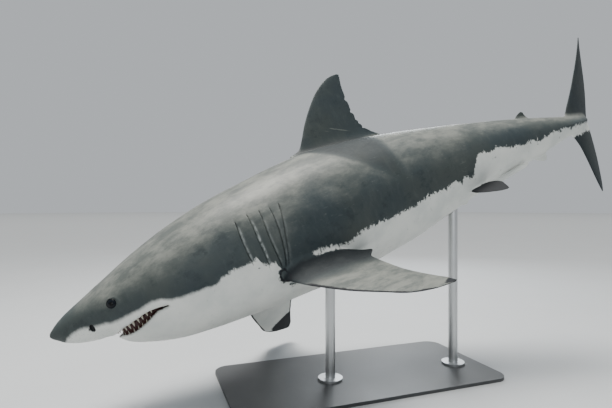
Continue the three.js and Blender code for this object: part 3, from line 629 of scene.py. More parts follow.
# A fin: rows joined by a smooth curve from root to tip, and across each chord an aerofoil,
# 1.76 sqrt(c) - 0.75 c - 2.09 c^2 + 1.69 c^3 - 0.6 c^4 times the half thickness. The root flares by
# exp(-distance / reach) to meet the body, and the rear edge is frayed by a ripple and cut by nicks.
def finRings(rows, place, look):
    table = np.array(rows)
    gaps = np.hypot(*np.diff(table[:, :2], axis=0).T) + np.hypot(*np.diff(table[:, 2:4], axis=0).T)
    run = np.concatenate([[0], np.cumsum(gaps)])
    raw = tableCurve(np.column_stack([run, table]))
    curve = softened(raw, 0, run[-1], run[-1] * finShape["softness"])
    share = np.linspace(0, 1, look["rings"])
    lead0, lead1, trail0, trail1, half = curve(share * run[-1]).T[:, :, None] * length
    steps = look["chord"]
    chord = (1 - np.cos(pi * np.arange(1, steps + 1) / steps)) / 2
    chord = np.concatenate([[0], chord, chord[::-1]])[None, :]
    sign = np.concatenate([[0], np.ones(steps), -np.ones(steps)])[None, :]
    fray = look["fray"] * (ripple(look["rings"], 2) * 0.6 + ripple(look["rings"], 5) * 0.4)
    for at, deep in look.get("nicks", []):
        fray = np.abs(fray) + deep * gauss(share - at, finShape["nickWidth"])
    fray = np.where(share > finShape["frayFrom"], fray, 0)[:, None]
    fray = fray * smoothStep(*finShape["frayChord"], chord) ** 2
    along = mix(lead0, trail0, chord) - np.abs(fray)
    out = mix(lead1, trail1, chord)
    flat = place(np.stack([along, out, np.zeros_like(out)], -1))
    near = np.exp(-np.maximum(outsideBody(flat), 0) / look["reach"])
    bulge = 1.76 * np.sqrt(chord) - 0.75 * chord
    bulge = bulge - 2.09 * chord**2 + 1.69 * chord**3 - 0.6 * chord**4
    thick = np.maximum(half * bulge, finShape["edge"])
    thick = thick + look["flare"] * near * np.sqrt(np.sin(pi * chord).clip(0))
    hump = smoothStep(*finShape["shoulderFrom"], chord) * smoothStep(*finShape["shoulderTo"], chord)
    thick = thick + look.get("shoulder", 0) * hump * (sign > 0) * near
    along = along - look["flare"] * near * (1 - chord) ** 4 + 0.5 * look["flare"] * near * chord**6
    return place(np.stack([along, out, sign * thick], -1))


# Midline fins, then paired ones.
def allFins():
    fins = [
        loft(finRings(finRows[name], midlinePlace, look)) for name, look in midlineFins.items()
    ]
    for fin in pairedFins:
        name = fin["rows"]
        fins.append(loft(finRings(finRows[name], pairedPlace(fin), pairedLooks[name])))
    return fins


clasper = {
    "from": (0.612, 0.0145, -0.0535),
    "to": (0.698, 0.0205, -0.0382),
    "radius": 0.022,
    "taper": [[0, 1], [0.35, 0.95], [0.7, 0.8], [0.88, 0.74], [0.96, 0.52], [1, 0.12]],
    "groove": 0.1,  # share of the radius
    "grooveWidth": 0.35,  # in radians
    "rings": 34,
    "around": 24,
}


# A clasper: rings round a straight path, the radius falling with a table, with a groove along the
# inner side.
def clasperRings(side):
    scale = (length, side * length, length)
    start, end = [np.array(clasper[key]) * scale for key in ("from", "to")]
    t = np.linspace(0, 1, clasper["rings"])
    angle = np.arange(clasper["around"]) / clasper["around"] * 2 * pi
    inner = pi if side > 0 else 0
    fromInner = np.mod(angle - inner + pi, 2 * pi) - pi
    groove = 1 - clasper["groove"] * gauss(fromInner, clasper["grooveWidth"])
    radius = clasper["radius"] * tableCurve(clasper["taper"])(t)[:, :1] * groove
    centre = mix(start, end, t[:, None])[:, None, :]
    ring = np.stack([np.zeros_like(radius), radius * np.cos(angle), radius * np.sin(angle)], -1)
    return centre + ring


# A gill slit: a blade swept down the bowed line, its inner edge further forward, under the flap.
def slitRings(slit, side):
    t = np.linspace(0, 1, gills["rings"])
    swell = np.sin(pi * t) ** 0.5
    station, level = slitStation(slit, t), mix(slit[1], slit[3], t)
    skin = halfWidthAt(station, level) * length
    opening = mix(gills["endShare"], 1, swell)
    half = gills["width"] / 2 * opening
    deep = gills["depth"] * opening
    lean = gills["lean"] * swell
    x, z, over = station * length, level * length, gills["over"]
    corners = [
        (x - lean - half * 0.4, skin - deep), (x - lean + half * 0.4, skin - deep),
        (x + half, skin), (x + half, skin + over), (x - half, skin + over), (x - half, skin),
    ]
    return np.stack([np.stack([cx, side * cy, z], -1) for cx, cy in corners], 1)


# A ball about an axis: radius (axis cos(fall) + (first cos(turn) + second sin(turn)) sin(fall)).
def sphereRings(centre, radius, axis, count=(24, 40)):
    axis = np.array(axis) / np.linalg.norm(axis)
    first = np.cross(axis, [0.0, 0.0, 1.0])
    first /= np.linalg.norm(first)
    second = np.cross(axis, first)
    fall = ((np.arange(count[0]) + 0.5) / count[0] * pi)[:, None, None]
    turn = (np.arange(count[1]) / count[1] * 2 * pi)[None, :, None]
    ring = first * np.cos(turn) + second * np.sin(turn)
    return np.array(centre) + radius * (axis * np.cos(fall) + ring * np.sin(fall))


# The ball stands proud of the skin by a set amount.
def eyeCentre(side):
    station, level = eye["station"], eye["level"]
    out = halfWidthAt(station, level) * length - eye["radius"] + eye["proud"]
    return np.array([station * length, side * float(out), level * length])


# The nostril: a ball drawn out to three half axes, bent by a sine, slanted, half sunk in the skin.
def nostrilRings(side):
    station, level = nostril["station"], nostril["level"]
    ball = sphereRings((0, 0, 0), 1, (1, 0, 0), (18, 24))
    slant = radians(nostril["slant"])
    long, deep, wide = nostril["length"] / 2, nostril["depth"], nostril["width"] / 2
    x, y, z = ball[..., 0] * long, ball[..., 1] * deep, ball[..., 2] * wide
    z = z + nostril["bend"] * np.sin(ball[..., 0] * 2.8)
    x, z = x * cos(slant) + z * sin(slant), z * cos(slant) - x * sin(slant)
    skin = float(halfWidthAt(station, level)) * length
    y = side * (y + skin - nostril["sunk"])
    return np.stack([x + station * length, y, z + level * length], -1)


# The gape: the outline between the lips carried straight across the head.
def gapeRings():
    share = np.linspace(0, 1, 60)
    station = mix(mouth["upper"][0][0], mouth["corner"][0], share)
    top, bottom = upperLip(station)[:, 0], lowerLip(station)[:, 0]
    bottom = np.minimum(bottom, top - 0.00002)  # never quite shut, so the outline has no seam
    outline = np.vstack([np.column_stack([station, top]), np.column_stack([station, bottom])[::-1]])
    across = np.linspace(-mouth["across"], mouth["across"], 3)
    rings = np.empty((3, len(outline), 3))
    rings[..., 0] = outline[:, 0] * length
    rings[..., 1] = across[:, None]
    rings[..., 2] = outline[:, 1] * length
    return rings


# The floor of the mouth that fills the gape's middle: the jaw's plan moved inward, as a block.
def floorRings():
    inset = mouth["depth"] / length
    share = np.linspace(0, 1, 24)
    front = mouth["front"] + mouth["frontDepth"] / length
    station = mix(front, mouth["floorTo"], share**1.6)
    wide = np.maximum(halfWidthAt(station, upperLip(station)[:, 0]) - inset, 0) * (share > 0)
    wide = np.maximum.accumulate(wide)
    half = np.column_stack([station, wide])
    outline = np.vstack([half, half[:0:-1] * (1, -1)])
    rings = np.empty((2, len(outline), 3))
    rings[..., 0] = outline[:, 0] * length
    rings[..., 1] = outline[:, 1] * length
    rings[..., 2] = np.array(mouth["floorLevels"])[:, None] * length
    return rings


print("shapes ready")

# kinds of face, by the piece they come from
groups = {"body": 0, "slit": 1, "socket": 2, "mouth": 3, "fin": 4, "clasper": 5}
holders = [bpy.data.materials.new(f"group_{name}") for name in groups]


# A piece to add to the skin or cut from it, with its kind of face.
def shaped(name, parts):
    piece = makeObject(name, parts, groups[name.split("_")[0]])
    for holder in holders:
        piece.data.materials.append(holder)
    return piece


# Adds or takes away a closed piece and removes it.
def combine(target, other, operation):
    modifier = target.modifiers.new("combine", "BOOLEAN")
    modifier.operation = operation
    modifier.solver = "MANIFOLD"
    modifier.object = other
    depsgraph = bpy.context.evaluated_depsgraph_get()
    result = bpy.data.meshes.new_from_object(target.evaluated_get(depsgraph))
    target.modifiers.clear()
    target.data = result
    bpy.data.objects.remove(other)
    return len(result.vertices)


skin = shaped("body_skin", [loft(bodyRings())])
print("body", len(skin.data.vertices))
sides = (-1, 1)
slits = [loft(slitRings(slit, side)) for slit in gills["slits"] for side in sides]
print("slits", combine(skin, shaped("slit_cut", slits), "DIFFERENCE"))
socketRadius = eye["radius"] + eye["play"]
sockets = [loft(sphereRings(eyeCentre(side), socketRadius, (0, side, 0))) for side in sides]
nostrils = [loft(nostrilRings(side)) for side in sides]
print("sockets", combine(skin, shaped("socket_cut", sockets + nostrils), "DIFFERENCE"))
gape = shaped("mouth_cut", [loft(gapeRings())])
combine(gape, shaped("mouth_floor", [loft(floorRings())]), "DIFFERENCE")
print("gape", combine(skin, gape, "DIFFERENCE"))
print("fins", combine(skin, shaped("fin_all", allFins()), "UNION"))
claspers = [loft(clasperRings(side)) for side in sides]
print("claspers", combine(skin, shaped("clasper_pair", claspers), "UNION"))
skin.name = skin.data.name = "shark_skin"


# Which kinds of face meet at each corner, as (corners, groups) of true or false.
def groupsAt(mesh):
    loops = np.zeros(len(mesh.loops), np.int32)
    mesh.loops.foreach_get("vertex_index", loops)
    sizes = np.zeros(len(mesh.polygons), np.int32)
    kinds = np.zeros(len(mesh.polygons), np.int32)
    mesh.polygons.foreach_get("loop_total", sizes)
    mesh.polygons.foreach_get("material_index", kinds)
    touched = np.zeros((len(mesh.vertices), len(groups)), bool)
    touched[loops, np.repeat(kinds, sizes)] = True
    return touched


def edgesOf(mesh):
    flat = np.zeros(len(mesh.edges) * 2, np.int32)
    mesh.edges.foreach_get("vertices", flat)
    return flat.reshape(-1, 2)


# Distance along the edges from the marked corners, spread step by step.
def spreadDistance(points, edges, marked, rounds):
    a, b = edges.T
    span = np.linalg.norm(points[a] - points[b], axis=1)
    far = np.where(marked, 0.0, 9.0)
    for _ in range(rounds):
        np.minimum.at(far, a, far[b] + span)
        np.minimum.at(far, b, far[a] + span)
    return far


rounding = {
    # how far each kind of crease is rounded, in metres, and in how many rounds
    "kinds": {
        "fin": (0.03, 26), "clasper": (0.014, 8), "slit": (0.005, 3), "socket": (0.006, 4),
        "mouth": (0.009, 6),
    },
    "spread": 14,  # most edges between a crease and a corner that it moves
    "core": 0.35,  # share of the reach that moves in full
    "step": 0.6,
}


# Rounds a crease: corners near it move towards the mean of their neighbours, less with distance.
def relax(points, edges, marked, reach, rounds):
    far = spreadDistance(points, edges, marked, rounding["spread"])
    near = smoothStep(reach, reach * rounding["core"], far)
    keep = (near[edges[:, 0]] > 0) | (near[edges[:, 1]] > 0)
    a, b = edges[keep].T
    count = len(points)
    number = np.maximum(np.bincount(a, minlength=count) + np.bincount(b, minlength=count), 1)
    for _ in range(rounds):
        mean = np.stack([
            np.bincount(a, points[b, k], count) + np.bincount(b, points[a, k], count)
            for k in range(3)
        ], 1) / number[:, None]
        points = points + (mean - points) * (rounding["step"] * near)[:, None]
    return points


cleaning = {"merge": 0.0004, "collapse": 0.0002}


# Joins corners that the cuts left together, and says how many edges don't have two faces.
def tidyMesh(mesh):
    work = bmesh.new()
    work.from_mesh(mesh)
    bmesh.ops.remove_doubles(work, verts=work.verts, dist=cleaning["merge"])
    bmesh.ops.dissolve_degenerate(work, edges=work.edges, dist=cleaning["collapse"])
    many = [face for face in work.faces if len(face.verts) > 4]
    bmesh.ops.triangulate(work, faces=many)
    loose = sum(1 for edge in work.edges if not edge.is_manifold)
    work.to_mesh(mesh)
    work.free()
    mesh.update()
    return loose


print("open edges", tidyMesh(skin.data))
touched = groupsAt(skin.data)
edges = edgesOf(skin.data)
straight = pointsOf(skin.data)
for kind, (reach, rounds) in rounding["kinds"].items():
    crease = touched[:, groups[kind]] & (touched.sum(1) > 1)
    straight = relax(straight, edges, crease, reach, rounds)
print("creases rounded")


markings = {
    # station and level of the edge between the dark back and the pale belly
    "edge": [
        # the first rows bring the dark down round the snout's tip: partly its dark skin, partly
        # painted shade
        [0, -0.03], [0.006, -0.026], [0.01, -0.015], [0.0155, -0.0105], [0.0215, -0.0085],
        [0.0286, -0.0075], [0.0363, -0.0088], [0.0455, -0.0112], [0.0529, -0.0118],
        [0.0601, -0.0142], [0.0695, -0.0139], [0.0795, -0.0129], [0.0887, -0.012],
        [0.1004, -0.0095], [0.1113, -0.0109], [0.1216, -0.0154], [0.1342, -0.0177],
        [0.157, -0.019], [0.168, -0.0206], [0.1815, -0.0139], [0.191, -0.0124],
        [0.2039, -0.0132], [0.2139, -0.0132], [0.2205, -0.0102], [0.2239, -0.0177],
        [0.2299, -0.0237], [0.2388, -0.0252], [0.2419, -0.0305], [0.246, -0.046],
        [0.256, -0.06], [0.272, -0.06], [0.2835, -0.047], [0.2875, -0.0335],
        [0.3034, -0.035], [0.3248, -0.0388], [0.343, -0.0425], [0.356, -0.0403],
        [0.371, -0.037], [0.4, -0.037], [0.434, -0.039], [0.472, -0.0365],
        [0.4961, -0.0325], [0.5243, -0.034], [0.5535, -0.0285], [0.5595, -0.037],
        [0.5655, -0.03], [0.584, -0.032], [0.593, -0.0185], [0.5971, -0.0094],
        [0.6108, -0.0025], [0.6335, -0.0052], [0.6431, -0.0026], [0.6795, -0.0071],
        [0.733, -0.0085], [0.753, -0.005], [0.785, -0.0028], [0.82, -0.004], [0.9, -0.004],
    ],
    "limit": 0.2,  # darkness goes this many metres either way from the edge
    "finFrom": (0.006, 0.022),  # distances out of the body over which its skin becomes a fin's
    "finMid": 0.06,  # midline fins lie within this distance of the middle
    "spot": (0.2195, -0.0235, 0.007),  # a small dark spot: station, level, radius
    "spotShade": 0.03,
    # painted shade round the nostril: a soft dark blot, how far it is moved, its size and its
    # darkness
    "nostrilShade": {"back": 0.014, "size": 0.011, "ink": 0.6},
    # dark knob in front of the pectoral fin: station, level, radius, ink and width of its rim
    "knob": {"at": (0.2455, -0.0433), "size": 0.03, "ink": 0.75, "rim": 0.009, "aside": 0.1},
    "upperShade": 0.1,  # how dark the fins above the middle are, then the anal fin
    "analShade": -0.035,
    "anal": (0.7, 0.77, -0.02),  # stations and level that hold the anal fin
    "tail": 0.8,  # station where the tail's lower lobe starts
    "caudalPaleTo": -0.02,  # level down to which that lobe stays pale
    # painted shade over the whole tail fin: its strength, and the station where it starts
    "caudalPaintedShade": 0.5,
    "caudalFrom": 0.77,
    # paler top of the back, partly lighter skin and partly painted sunlight: how far it climbs the
    # fins, and where it starts behind the snout
    "backOut": 0.045,
    "backFrom": (-0.01, 0.07),
    # painted shadow of the first dorsal fin on the back: its front edge runs down the flank as it
    # goes back
    "finShadow": {
        "from": 0.359, "fall": 0.8, "front": (-0.01, 0.01), "rear": (0.474, 0.454),
        "share": 1.0, "paintedShade": 0.75,
    },
    "rims": [0.6, 1.0, 0.3, 0.2, 0.15],  # how pale the edge of each gill flap is: paler skin behind the slit, brightened as a painted highlight
    "rimAt": (0.0085, 0.0055),  # how far behind its slit that edge lies, and how wide it is
    "rimFrom": (0.05, 0.3),  # shares of the slit over which it starts, and ends
    "rimTo": (1.02, 0.8),
    # raggedness of the edge at the snout, and what it gains over each stretch of stations
    "ragged": (0.12, (0.55, 0.12, 0.24), (0.33, 0.35, 0.6)),
}
# Black and pale parts of the paired fins, as shares of the distance out and of the chord.
finMarks = {
    # the part of the straight body that counts as the fin: chord, height above and below, level
    "chord": (-0.3, 1.4),
    "height": 0.09,
    "below": -0.02,
    "topShade": 0.05,
    "pelvicShade": 0.02,
    # pelvicInk blackens the pelvic fins' dark upper side further, as painted shade
    "pelvicInk": 0.7,
    "patch": (0.78, 0.88),  # under the pectoral's tip, further out towards the front
    "patchSlant": 0.22,
    "tipTop": (0.94, 0.985),
    "tipSlant": 0.08,
    "tipInk": 0.8,
    # dark leading edge of the pectoral fin: partly dark edging, partly painted shade of the
    # underside
    "front": (0.06, 0.02),
    "frontOut": (0.15, 0.3),
    "frontInk": 0.7,
    "rear": (0.93, 0.985),
    "rearOut": (0.25, 0.5),
    "rearInk": 0.8,
    "inner": (0.42, 0.1),  # painted shadow of the body on the inner part of the upper side
    "innerSlant": 0.06,
    # strength of the painted sunlight on the outer upper side of the pectoral fins
    "pale": 1.1,
}


# Local place on a paired fin: share of the chord, distance out and height over its middle plane.
def finLocal(fin, points):
    origin, axes = finAxes(fin)
    mirrored = points * (1, fin["side"], 1)
    local = (mirrored - origin) @ axes.T
    rows = np.array(finRows[fin["rows"]]) * length
    along, out, across = local.T
    across = across - finCurl(fin, out)
    lead = np.interp(out, rows[:, 1], rows[:, 0])
    trail = np.interp(out, rows[:, 3], rows[:, 2])
    return (along - lead) / np.maximum(trail - lead, 0.01), out, across


# Masks of the paired fins, laid over those of the body. The upper side is dark and the underside
# pale, by height / (|height| + 2 mm); ink blackens the tips, edges and the patch under the tip,
# with painted shade along the pectoral's leading edge and over the pelvic fins' upper side; the
# pectoral's upper side carries the body's painted shadow near the root and painted sunlight further
# out.
def pairedMasks(points, onFin, masks):
    level, side = points[:, 2] / length, np.sign(points[:, 1])
    for fin in pairedFins:
        chord, out, height = finLocal(fin, points)
        low, high = finMarks["chord"]
        here = (out > 0) & (side == fin["side"]) & (chord > low) & (chord < high)
        here &= (np.abs(height) < finMarks["height"]) & (level < finMarks["below"])
        weight = np.where(here, onFin, 0)
        top = height / (np.abs(height) + 0.002)
        isPelvic = fin["rows"] == "pelvic"
        finShade = finMarks["topShade"] * top + finMarks["pelvicShade"] * isPelvic * (top > 0)
        masks["shade"] = mix(masks["shade"], finShade, weight)
        if isPelvic:
            # the pelvic fins' dark upper side is blackened further with painted shade
            inked = finMarks["pelvicInk"] * smoothStep(-0.2, 0.2, top)
            masks["ink"] = np.maximum(masks["ink"], inked * weight)
            continue
        reach, mid = out / (finRows["pectoral"][-1][1] * length), chord - 0.5
        under = smoothStep(0.2, -0.2, top)
        patch = under * smoothStep(*finMarks["patch"], reach + finMarks["patchSlant"] * mid)
        tip = smoothStep(*finMarks["tipTop"], reach + finMarks["tipSlant"] * mid)
        # dark leading edge: partly dark edging, partly painted shade of the underside
        front = smoothStep(*finMarks["front"], chord) * smoothStep(*finMarks["frontOut"], reach)
        rear = smoothStep(*finMarks["rear"], chord) * smoothStep(*finMarks["rearOut"], reach)
        # painted shadow of the body over the inner part of the fin's upper side
        inner = smoothStep(*finMarks["inner"], reach - finMarks["innerSlant"] * mid)
        # painted sunlight on the rest of the upper side, laid into the paler top
        sunlitTop = weight * (1 - under) * (1 - inner) * finMarks["pale"]
        edges = [finMarks["rearInk"] * rear * under, finMarks["frontInk"] * front]
        inked = weight * np.max([patch, finMarks["tipInk"] * tip, *edges], axis=0)
        masks["paintedShade"] = np.maximum(masks["paintedShade"], weight * (1 - under) * inner)
        masks["dorsal"] = np.maximum(masks["dorsal"], sunlitTop)
        masks["ink"] = np.maximum(masks["ink"], inked)


# Pale rims of the gill flaps, partly paler skin and partly a painted highlight: a bell just behind
# each slit, faded at its ends.
def rimMask(station, level):
    rim = np.zeros_like(station)
    for slit, paleness in zip(gills["slits"], markings["rims"]):
        t = (slit[1] - level) / (slit[1] - slit[3])
        behind = (station - slitStation(slit, np.clip(t, 0, 1))) * length
        window = smoothStep(*markings["rimFrom"], t) * smoothStep(*markings["rimTo"], t)
        at, wide = markings["rimAt"]
        rim = np.maximum(rim, paleness * window * gauss(behind - at, wide))
    return rim


# The masks that the skin's finish reads. Shade is the distance in metres above the edge of the dark
# back, set anew on the fins; ink is for black parts; a further mask holds painted shade over the
# tail fin and painted shadows of the first dorsal fin and of the body on the pectoral fins; dorsal
# is for the paler top, partly lighter skin and partly painted sunlight.
def skinMasks(points):
    station, across, level = points[:, 0] / length, points[:, 1], points[:, 2] / length
    outside = outsideBody(points)
    onFin = smoothStep(*markings["finFrom"], outside)
    isMiddle = np.abs(across) < markings["finMid"]
    limit = markings["limit"]
    edge = tableCurve(markings["edge"])(station)[:, 0]
    shade = np.clip((level - edge) * length, -limit, limit)

    spotS, spotZ, spotSize = markings["spot"]
    spot = gauss(np.hypot((station - spotS) * length, (level - spotZ) * length), spotSize)
    shade = np.maximum(shade, (2 * spot - 1) * markings["spotShade"])
    # painted shade round the nostril
    flap = markings["nostrilShade"]
    flapX = (station - nostril["station"]) * length + flap["back"]
    flapZ = (level - nostril["level"]) * length
    ink = flap["ink"] * gauss(np.hypot(flapX, flapZ), flap["size"])
    knob = markings["knob"]
    knobX, knobZ = (station - knob["at"][0]) * length, (level - knob["at"][1]) * length
    fromKnob = np.hypot(knobX * 1.25, knobZ * 0.85)
    onKnob = (level < 0) & (np.abs(across) > knob["aside"])
    knobShade = np.clip(knob["size"] * 1.1 - fromKnob, -limit, limit / 4)
    shade = np.where(onKnob, np.maximum(shade, knobShade), shade)
    knobInk = knob["ink"] * gauss(fromKnob - knob["size"] * 0.85, knob["rim"])
    ink = np.maximum(ink, onKnob * knobInk)

    upperFin = (onFin > 0) & (level > 0) & isMiddle
    shade = np.where(upperFin, mix(shade, markings["upperShade"], onFin), shade)
    lowerLobe = (station > markings["tail"]) & (level < 0) & isMiddle & (onFin > 0)
    pale = (markings["caudalPaleTo"] - level) * length
    shade = np.where(lowerLobe, mix(shade, pale, onFin), shade)
    analStart, analEnd, analTop = markings["anal"]
    isAnal = (station > analStart) & (station < analEnd) & (level < analTop)
    shade = np.where(isAnal, markings["analShade"], shade)

    # the paler top of the back: partly lighter skin, partly painted sunlight
    highest = sectionAt(station)[0]
    dorsal = np.clip((level - edge) / np.maximum(highest - edge, 0.005), 0, 1)
    dorsal = dorsal * smoothStep(markings["backOut"], 0, outside)
    dorsal = dorsal * smoothStep(*markings["backFrom"], station)
    # painted shadow of the first dorsal fin: darkens the back under and behind the fin and takes
    # the paler top away there
    finShadow = markings["finShadow"]
    deep = (station - finShadow["from"]) * finShadow["fall"] - (highest - level)
    inFinShadow = smoothStep(*finShadow["front"], deep) * smoothStep(*finShadow["rear"], station)
    # painted shade over the whole tail fin
    caudal = markings["caudalPaintedShade"] * onFin * (station > markings["caudalFrom"]) * isMiddle
    paintedShade = np.maximum(caudal, finShadow["paintedShade"] * inFinShadow * dorsal)
    dorsal = dorsal * (1 - finShadow["share"] * inFinShadow)

    start, *gains = markings["ragged"]
    ragged = start + sum(gain * smoothStep(low, high, station) for gain, low, high in gains)
    masks = {"shade": shade, "ink": ink, "paintedShade": paintedShade, "ragged": ragged, "dorsal": dorsal}
    pairedMasks(points, onFin, masks)
    masks["rim"] = rimMask(station, level) * (1 - onFin)
    return masks


masks = skinMasks(straight)
solo = touched.sum(1) == 1
# walls of the gill slits, eye sockets and nostrils get painted shade; those of the mouth get its
# red lining, darkened with painted shade
for name, kinds in {"groove": ("slit", "socket"), "shadedLining": ("mouth",)}.items():
    walls = np.any([touched[:, groups[kind]] for kind in kinds], axis=0)
    masks[name] = np.where(walls, np.where(solo, 1.0, 0.45), 0.0)
for name, values in masks.items():
    addAttribute(skin.data, name, values)
addAttribute(skin.data, "straight", straight)
setPoints(skin.data, posed(straight))
skin.data.polygons.foreach_set("material_index", np.zeros(len(skin.data.polygons), np.int32))
skin.data.polygons.foreach_set("use_smooth", np.ones(len(skin.data.polygons), bool))
skin.data.materials.clear()
skin.data.update()
print("skin", len(skin.data.vertices), "corners")


# An eyeball: a ball whose front stands further out by cornea exp(-(angle / reach)^2).
def makeEye(side, word):
    centre = eyeCentre(side)
    look = np.array(eye["look"]) * (1, side, 1)
    look /= np.linalg.norm(look)
    count, around = eye["rings"]
    rings = sphereRings(centre, eye["radius"], look, eye["rings"])
    fall = np.repeat((np.arange(count) + 0.5) / count * pi, around)
    cornea = eye["cornea"] * gauss(fall, eye["corneaReach"])
    rings = rings + look * cornea.reshape(count, around, 1)
    front = centre + look * (eye["radius"] + eye["cornea"])
    corners, quads, caps = loft(rings, (front, centre - look * eye["radius"]))
    ball = makeObject(f"eyeball_{word}", [(posed(corners), quads, caps)])
    addAttribute(ball.data, "fromPupil", np.concatenate([fall, [0, pi]]))
    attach(ball, "root")
    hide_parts(f"eye_{word}")
    return ball


teeth = {
    "upper": {
        "lip": upperLip, "down": -1, "count": 24, "reach": 0.101, "width": 0.019, "share": 0.5,
        "thickness": 0.007, "inset": 0.009, "rooted": 0.007, "lean": 0.15,
    },
    "lower": {
        "lip": lowerLip, "down": 1, "count": 20, "reach": 0.097, "width": 0.012, "share": 0.42,
        "thickness": 0.006, "inset": 0.015, "rooted": 0.007, "lean": 0.05,
    },
}
toothShape = {
    "front": 0.45,  # size of the front ones, and how far along the row they grow to full size
    "frontReach": 0.35,
    "backLoss": 0.35,
    "rings": 15,
    "around": 14,
    "notch": 0.05,
    "tilt": 0.08,
}


# The line of a jaw in plan: the half widths at the lip's level from the chin back, both sides
# joined, moved inward, with its directions.
def jawArch(row, places):
    share = np.linspace(0, 1, 60) ** 1.7
    station = mix(mouth["front"], row["reach"], share)
    wide = halfWidthAt(station, row["lip"](station)[:, 0]) * (share > 0)
    half = np.column_stack([station, wide])
    line = np.vstack([half[:0:-1] * (1, -1), half]) * length
    run = np.concatenate([[0], np.cumsum(np.hypot(*np.diff(line, axis=0).T))])
    smooth = softened(lambda x: np.column_stack([np.interp(x, run, line[:, k]) for k in (0, 1)]),
                      0, run[-1], 0.012)
    at = places * run[-1]
    step = 0.002
    tangent = smooth(at + step) - smooth(at - step)
    tangent /= np.linalg.norm(tangent, axis=1, keepdims=True)
    inward = np.column_stack([tangent[:, 1], -tangent[:, 0]])
    return smooth(at) + inward * row["inset"], tangent, inward


# A row of teeth: each a blade with lens-shaped rings, its width falling as (1 - v)^0.85 to the
# point, with fine notches along both edges, standing across the jaw's line.
def makeTeeth(word, row):
    places = (np.arange(row["count"]) + 0.5) / row["count"]
    foot, tangent, inward = jawArch(row, places)
    rise, around = toothShape["rings"], toothShape["around"]
    v = np.linspace(0, 0.985, rise)[:, None]
    angle = (np.arange(around) / around * 2 * pi)[None, :]
    station = foot[:, 0] / length
    lip = row["lip"](station)[:, 0]
    opening = (upperLip(station)[:, 0] - lowerLip(station)[:, 0]) * length
    aside = np.abs(2 * places - 1)
    growth = mix(toothShape["front"], 1, np.minimum(aside / toothShape["frontReach"], 1))
    sizes = (1 - toothShape["backLoss"] * aside**2) * random.uniform(0.9, 1.06, row["count"])
    tilts = random.normal(0, toothShape["tilt"], row["count"])
    notch = 1 - toothShape["notch"] * (np.arange(rise)[:, None] % 2)
    parts = []
    for n in range(row["count"]):
        wide = row["width"] / 2 * sizes[n] * (1 + growth[n]) / 2 * (1 - v) ** 0.85 * notch
        thick = row["thickness"] / 2 * sizes[n] * (1 - v) ** 0.7
        thick = thick * np.where(np.sin(angle) > 0, 1, 0.55)  # flatter outside than inside
        high = (opening[n] * row["share"] * growth[n] + row["rooted"]) * (0.75 + 0.25 * sizes[n])
        blade = foot[n] + tangent[n] * (wide * np.cos(angle))[..., None]
        blade = blade + inward[n] * (thick * np.sin(angle) + row["lean"] * high * v)[..., None]
        blade = blade + tangent[n] * (tilts[n] * high * v)[..., None]
        z = lip[n] * length + row["down"] * (v * high - row["rooted"])
        rings = np.concatenate([blade, np.broadcast_to(z[..., None], (rise, around, 1))], -1)
        tip = rings[-1].mean(0) + [0, 0, row["down"] * high * 0.015]
        corners, quads, caps = loft(rings, (rings[0].mean(0), tip))
        parts.append((posed(corners), quads, caps))
    piece = makeObject(f"{word}_teeth", parts)
    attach(piece, "root")
    return piece


eyeballs = [makeEye(side, word) for side, word in ((-1, "left"), (1, "right"))]
toothRows = [makeTeeth(word, row) for word, row in teeth.items()]
print("eyes and teeth made")


# A value in a material: the usual operators add Math nodes.
class Value:
    def __init__(self, tree, socket):
        self.tree, self.socket = tree, socket

    def maths(self, operation, *values):
        settings = {"operation": operation}
        return addNode(self.tree, "ShaderNodeMath", settings, dict(enumerate(values)))

    def __add__(self, other):
        return self.maths("ADD", self, other)

    def __radd__(self, other):
        return self.maths("ADD", other, self)

    def __sub__(self, other):
        return self.maths("SUBTRACT", self, other)

    def __rsub__(self, other):
        return self.maths("SUBTRACT", other, self)

    def __mul__(self, other):
        return self.maths("MULTIPLY", self, other)

    def __rmul__(self, other):
        return self.maths("MULTIPLY", other, self)

    def atLeast(self, other):
        return self.maths("MAXIMUM", self, other)

    def size(self):
        return self.maths("ABSOLUTE", self)


# Any node: its type, its settings, the values or links of its sockets, and which output is used.
def addNode(tree, kind, settings, inputs, output=0):
    node = tree.nodes.new(kind)
    for name, setting in settings.items():
        setattr(node, name, setting)
    for name, given in inputs.items():
        if isinstance(given, Value):
            tree.links.new(given.socket, node.inputs[name])
        else:
            node.inputs[name].default_value = given
    return Value(tree, node.outputs[output])


